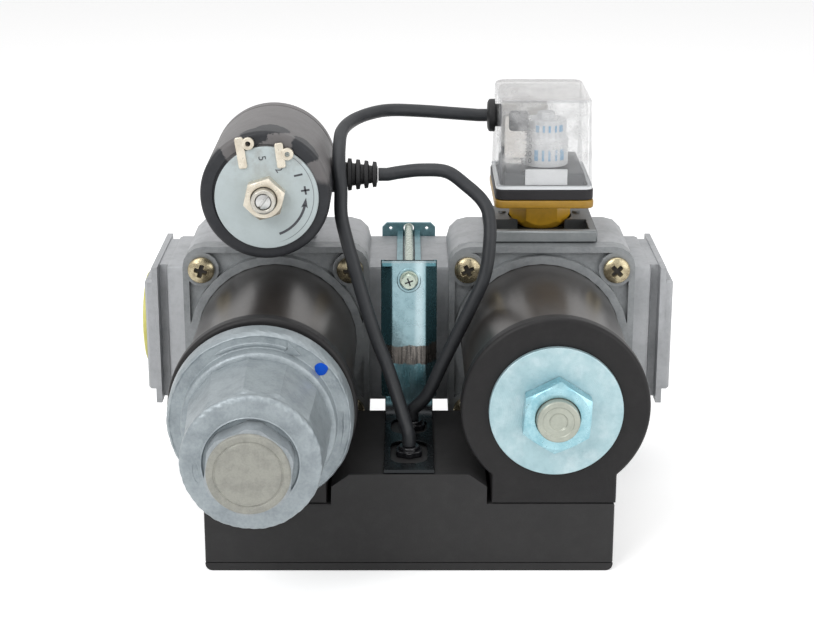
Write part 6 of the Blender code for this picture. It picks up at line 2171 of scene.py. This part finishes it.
        Form("setting_drum").turned(axis, drum, 192, flutes).finish(DRUM, Body.DIAL, ["switch_dial"])
        scale = Form("drum_marks")
        for centre, width in ((-118.0, 5.0), (-100.0, 3.0), (-84.0, 3.0), (-66.0, 3.0), (-48.0, 7.0)):
            sweep = np.radians(np.linspace(centre - width, centre + width, 12))
            for level, tall in ((low + 0.003, 0.005), (low + 0.016, 0.003)):
                radius = 0.01036 if level < low + 0.01 else 0.00944
                turn, height = np.meshgrid(sweep, [level, level + tall])
                outer, inner = (axis.round(radius + out, turn, height) for out in (0.00006, -0.0002))
                scale.grid(np.vstack([outer, inner[::-1]]), True, False)
        scale.finish(BLUE_INK, Body.DIAL)

    def inside(self) -> None:
        """What shows through the cover: a beige panel, two dark blocks, a bare label and figures.

        Each plate is given by width, depth and corner, by its middle, and by its heights and edge.
        """
        x, y = self.centre
        front = y - 0.0225
        axis, face = Axis((x, front + 0.006, 0.0)), Axis((x, y - 0.0243, 0.0))
        panel = ((0.01, 0.019, 0.001), (-0.0128, 0.162), (0.0, 0.0012, 0.0003))
        upper = ((0.009, 0.0092, 0.0022), (-0.0116, 0.1694), (-0.0006, 0.0016, 0.0006))
        lower = ((0.0098, 0.0084, 0.0008), (-0.0138, 0.1462), (0.0014, 0.003, 0.0004))
        label = ((0.019, 0.0072, 0.0004), (0.0008, 0.1452), (0.0, 0.0006, 0.0001))
        for name, finish, plane, plates in (
            ("inner_panel", BEIGE, axis, (panel,)),
            ("inner_block", SMOKED, axis, (upper, lower)),
            ("bare_label", WHITE, face, (label,)),
        ):
            form = Form(name)
            for size, middle, span in plates:
                form.slab(plane, rounded_box(*size) + np.array(middle), *span)
            form.finish(finish)
        for i, level in enumerate((0.164, 0.1608, 0.1576, 0.1544, 0.1512)):
            place = Axis((x - 0.0072, front + 0.0046, level))
            settle(words(f"setting_figure_{i}", str(50 - 10 * i), place, 0.0034, 0.0, 0.0001), INK)

    def grommet(self) -> None:
        """The rubber grommet in the left wall."""
        rise = (self.grommet_z - self.cover_low) / (self.cover_high - self.cover_low)
        x = self.centre[0] - self.width / 2 + 0.0007 + self.draft * rise
        axis = Axis((x, self.centre[1], self.grommet_z), **TO_LEFT)
        section = filleted([
            (0.0, -0.0024), (0.0052, -0.0024, 0.0003), (0.0052, 0.0006), (0.0075, 0.0006, 0.0003),
            (0.0075, 0.0032, 0.0007), (0.006, 0.004, 0.0005), (0.0, 0.004),
        ])
        Form("wall_grommet").turned(axis, section, 72).finish(RUBBER, stands_for=["switch_grommet"])


@dataclass(frozen=True)
class PortPlug:
    """The transport plug in the left port.

    Attributes:
        face_x: X of the port's pad.
        centre: Y and Z of the port.
    """

    face_x: float = -0.1205
    centre: tuple[float, float] = (0.0825, 0.072)

    def build(self) -> None:
        """A domed flange on a hollow spigot with a moulded ring on its face."""
        axis = Axis((self.face_x, *self.centre), **TO_LEFT)
        section = filleted([
            (0.0, 0.0024), (0.01305, 0.002, 0.0004), (0.01305, -0.01), (0.01485, -0.01, 0.0003),
            (0.01485, 0.0003), (0.0215, 0.0003, 0.0002), (0.0215, 0.0026, 0.001),
            (0.017, 0.0034, 0.0006), (0.0165, 0.0029, 0.0003), (0.0155, 0.003, 0.0003),
            (0.015, 0.0036, 0.0006), (0.0, 0.0042),
        ])
        Form("transport_plug").turned(axis, section, 128).finish(YELLOW, stands_for=["port_plug"])


@dataclass(frozen=True)
class Lead:
    """A free lead from a piece on top down to a gland.

    Attributes:
        name: The piece's name.
        node: The CAD node that it stands for.
        start: Where it leaves the piece.
        outward: Length of the straight stretch along X there.
        route: Points that it runs through.
        end: Where it meets the gland.
        radius: Its radius.
        straight: Length of the straight stretch above the gland.
    """

    name: str
    node: str
    start: Point
    outward: float
    route: tuple[Point, ...]
    end: Point
    radius: float = 0.0029
    straight: float = 0.004

    def path(self) -> Array:
        """A smooth curve through the route, straight at both ends.

        Between knots B and C, with A before and D after them, it is the cubic
        (2B + (C-A) t + (2A-5B+4C-D) t^2 + (3B-A-3C+D) t^3) / 2.

        Returns:
            The points.
        """
        first = (self.start[0] + self.outward, *self.start[1:])
        last = (*self.end[:2], self.end[2] + self.straight)
        knots = np.array([first, *self.route, last])
        knots = np.vstack([2 * knots[0] - knots[1], knots, 2 * knots[-1] - knots[-2]])
        t = np.linspace(0, 1, 8, endpoint=False)[:, None, None]
        a, b, c, d = knots[:-3], knots[1:-2], knots[2:-1], knots[3:]
        square, cube = 2 * a - 5 * b + 4 * c - d, 3 * b - a - 3 * c + d
        spans = (2 * b + (c - a) * t + square * t**2 + cube * t**3) / 2
        curve = spans.transpose(1, 0, 2).reshape(-1, 3)
        return np.vstack([[self.start], curve, [last], [self.end]])

    def build(self) -> None:
        points = self.path()
        curve = bpy.data.curves.new(self.name, "CURVE")
        curve.dimensions = "3D"
        curve.bevel_depth = self.radius
        curve.bevel_resolution = 5
        curve.use_fill_caps = True
        spline = curve.splines.new("POLY")
        spline.points.add(len(points) - 1)
        spline.points.foreach_set("co", np.column_stack([points, np.ones(len(points))]).ravel())
        spline.use_smooth = True
        piece = placed(self.name, curve)
        settle(piece, CABLE, stands_for=[self.node])


SWITCH_LEAD = Lead("cable_switch", "lead_switch", (0.0358, 0.083, 0.1687), -0.004, (
    (0.0197, 0.082, 0.1698), (0.0059, 0.08, 0.1712), (-0.0078, 0.075, 0.1726), (-0.0167, 0.067, 0.1728),
    (-0.0246, 0.057, 0.1716), (-0.0293, 0.045, 0.1694), (-0.0302, 0.033, 0.1654),
    (-0.0301, 0.023, 0.1588), (-0.0292, 0.017, 0.1492), (-0.029, 0.013, 0.1392),
    (-0.0266, 0.01, 0.1289), (-0.0236, 0.008, 0.1184), (-0.0194, 0.005, 0.1036),
    (-0.0138, 0.001, 0.0869), (-0.0095, -0.003, 0.0769), (-0.0052, -0.0095, 0.0654),
    (-0.0018, -0.017, 0.0565),
), (0.0, -0.0225, 0.0479))
PILOT_LEAD = Lead("cable_pilot", "lead_pilot", (-0.0134, 0.035, 0.1519), 0.004, (
    (-0.0031, 0.035, 0.153), (0.0056, 0.034, 0.1541), (0.0165, 0.032, 0.1537), (0.0252, 0.029, 0.1481),
    (0.0316, 0.026, 0.1426), (0.0346, 0.023, 0.1367), (0.035, 0.019, 0.1265), (0.0329, 0.015, 0.1119),
    (0.0273, 0.013, 0.0989), (0.0209, 0.012, 0.0855), (0.0144, 0.011, 0.0721), (0.0079, 0.01, 0.0585),
), (0.0015, 0.009, 0.0479))


@dataclass(frozen=True)
class Studio:
    """Camera, lights and floor.

    Attributes:
        camera: Place of the camera.
        pitch: Its angle below the horizon, in degrees.
        lens: Its focal length, in millimetres on a 36 mm sensor.
        ambient: Light of the world on the object.
        target: Where the lamps point.
    """

    camera: Point = (-0.00085, -0.747, 0.333)
    pitch: float = 17.26
    lens: float = 80.97
    ambient: float = 0.42
    target: Point = (0.0, 0.03, 0.08)

    def aim(self) -> None:
        """Place the camera as in the photograph."""
        data = bpy.data.cameras.new("camera")
        data.lens = self.lens
        data.sensor_width = 36.0
        data.clip_start = 0.01
        camera = placed("camera", data)
        camera.location = self.camera
        camera.rotation_euler = (math.radians(90 - self.pitch), 0.0, 0.0)
        bpy.context.scene.camera = camera

    def light(self) -> None:
        """A broad soft light at upper left, weaker ones right and above, and an even pale world."""
        lamps = (
            ("key", (-0.75, -0.85, 1.05), 0.9, 12.0),
            ("fill", (0.95, -0.75, 0.55), 1.0, 5.5),
            ("top", (0.0, 0.1, 1.25), 1.1, 4.9),
        )
        for name, place, size, power in lamps:
            data = bpy.data.lights.new(name, "AREA")
            data.size = size
            data.energy = power
            lamp = placed(name, data)
            lamp.location = place
            lamp.rotation_euler = self.facing(np.array(self.target) - np.array(place))
        world = bpy.data.worlds.new("studio")
        bpy.context.scene.world = world
        world.use_nodes = True
        graph = Graph("studio", world.node_tree)
        strength = graph.seen() * (1.0 - self.ambient) + self.ambient
        inputs = {"Color": (1, 1, 1, 1), "Strength": strength}
        background = graph.node("ShaderNodeBackground", inputs=inputs)
        graph.node("ShaderNodeOutputWorld", inputs={"Surface": background})
        bpy.context.scene.view_settings.view_transform = "Standard"

    @staticmethod
    def facing(direction: Array) -> tuple[float, float, float]:
        """Angles that point a lamp along a direction: tilt = atan2(hypot(x, y), -z), then its azimuth."""
        x, y, z = direction
        return (math.atan2(math.hypot(x, y), -z), 0.0, math.atan2(x, -y) + math.pi)

    def ground(self) -> None:
        """A pale floor that shows white where nothing shades it."""
        mesh = bpy.data.meshes.new("floor")
        far = 3.0
        corners = [(-far, -far, 0), (far, -far, 0), (far, far, 0), (-far, far, 0)]
        mesh.from_pydata(corners, [], [(0, 1, 2, 3)])
        floor = placed("floor", mesh)
        graph = Graph("pale_floor")
        grain = graph.noise(0.05, 2.0)
        mesh.materials.append(
            graph.surface(
                Base_Color=graph.mix((0.93, 0.93, 0.93), (0.95, 0.95, 0.95), grain),
                Roughness=0.9,
                Emission_Color=graph.mix((0.0, 0.0, 0.0), (0.42, 0.42, 0.42), graph.seen()),
                Emission_Strength=1.0,
            )
        )


HIDDEN_FINISHES: tuple[tuple[Finish, tuple[str, ...]], ...] = (
    (STEEL, ("armature_left", "armature_right", "valve_disc_left", "valve_disc_right", "pilot_armature")),
    (CORE_STEEL, ("core_tube_left",)),
    (RUBBER, ("disc_seal_left", "disc_seal_right")),
    (COPPER, ("coil_winding_left", "coil_winding_right")),
    (BRASS, ("damper_piston",)),
)


SPRINGS: tuple[tuple[str, str, Body], ...] = (
    ("return_spring_left", "left_closing_spring", Body.LEFT_ARMATURE),
    ("return_spring_right", "right_closing_spring", Body.RIGHT_ARMATURE),
    ("pilot_spring", "pilot_closing_spring", Body.PILOT_ARMATURE),
)


def main() -> None:
    """Build every sub-assembly, then the stage."""
    logging.basicConfig(level=logging.INFO, format="%(name)s: %(message)s")
    studio = Studio()
    studio.aim()
    for lead in (SWITCH_LEAD, PILOT_LEAD):
        lead.build()
    casting = Casting()
    casting.build()
    for side in Side:
        Coil(side).build(casting)
    CoilClamp().build(casting)
    Damper().build(casting)
    Box().build()
    Brackets().build()
    Pilot().build()
    PressureSwitch().build()
    PortPlug().build()
    for finish, nodes in HIDDEN_FINISHES:
        dress(finish, *nodes)
    for node, name, body in SPRINGS:
        sprung(node, name, SPRING_STEEL, body)
    studio.light()
    studio.ground()


if __name__ == "__main__":
    main()
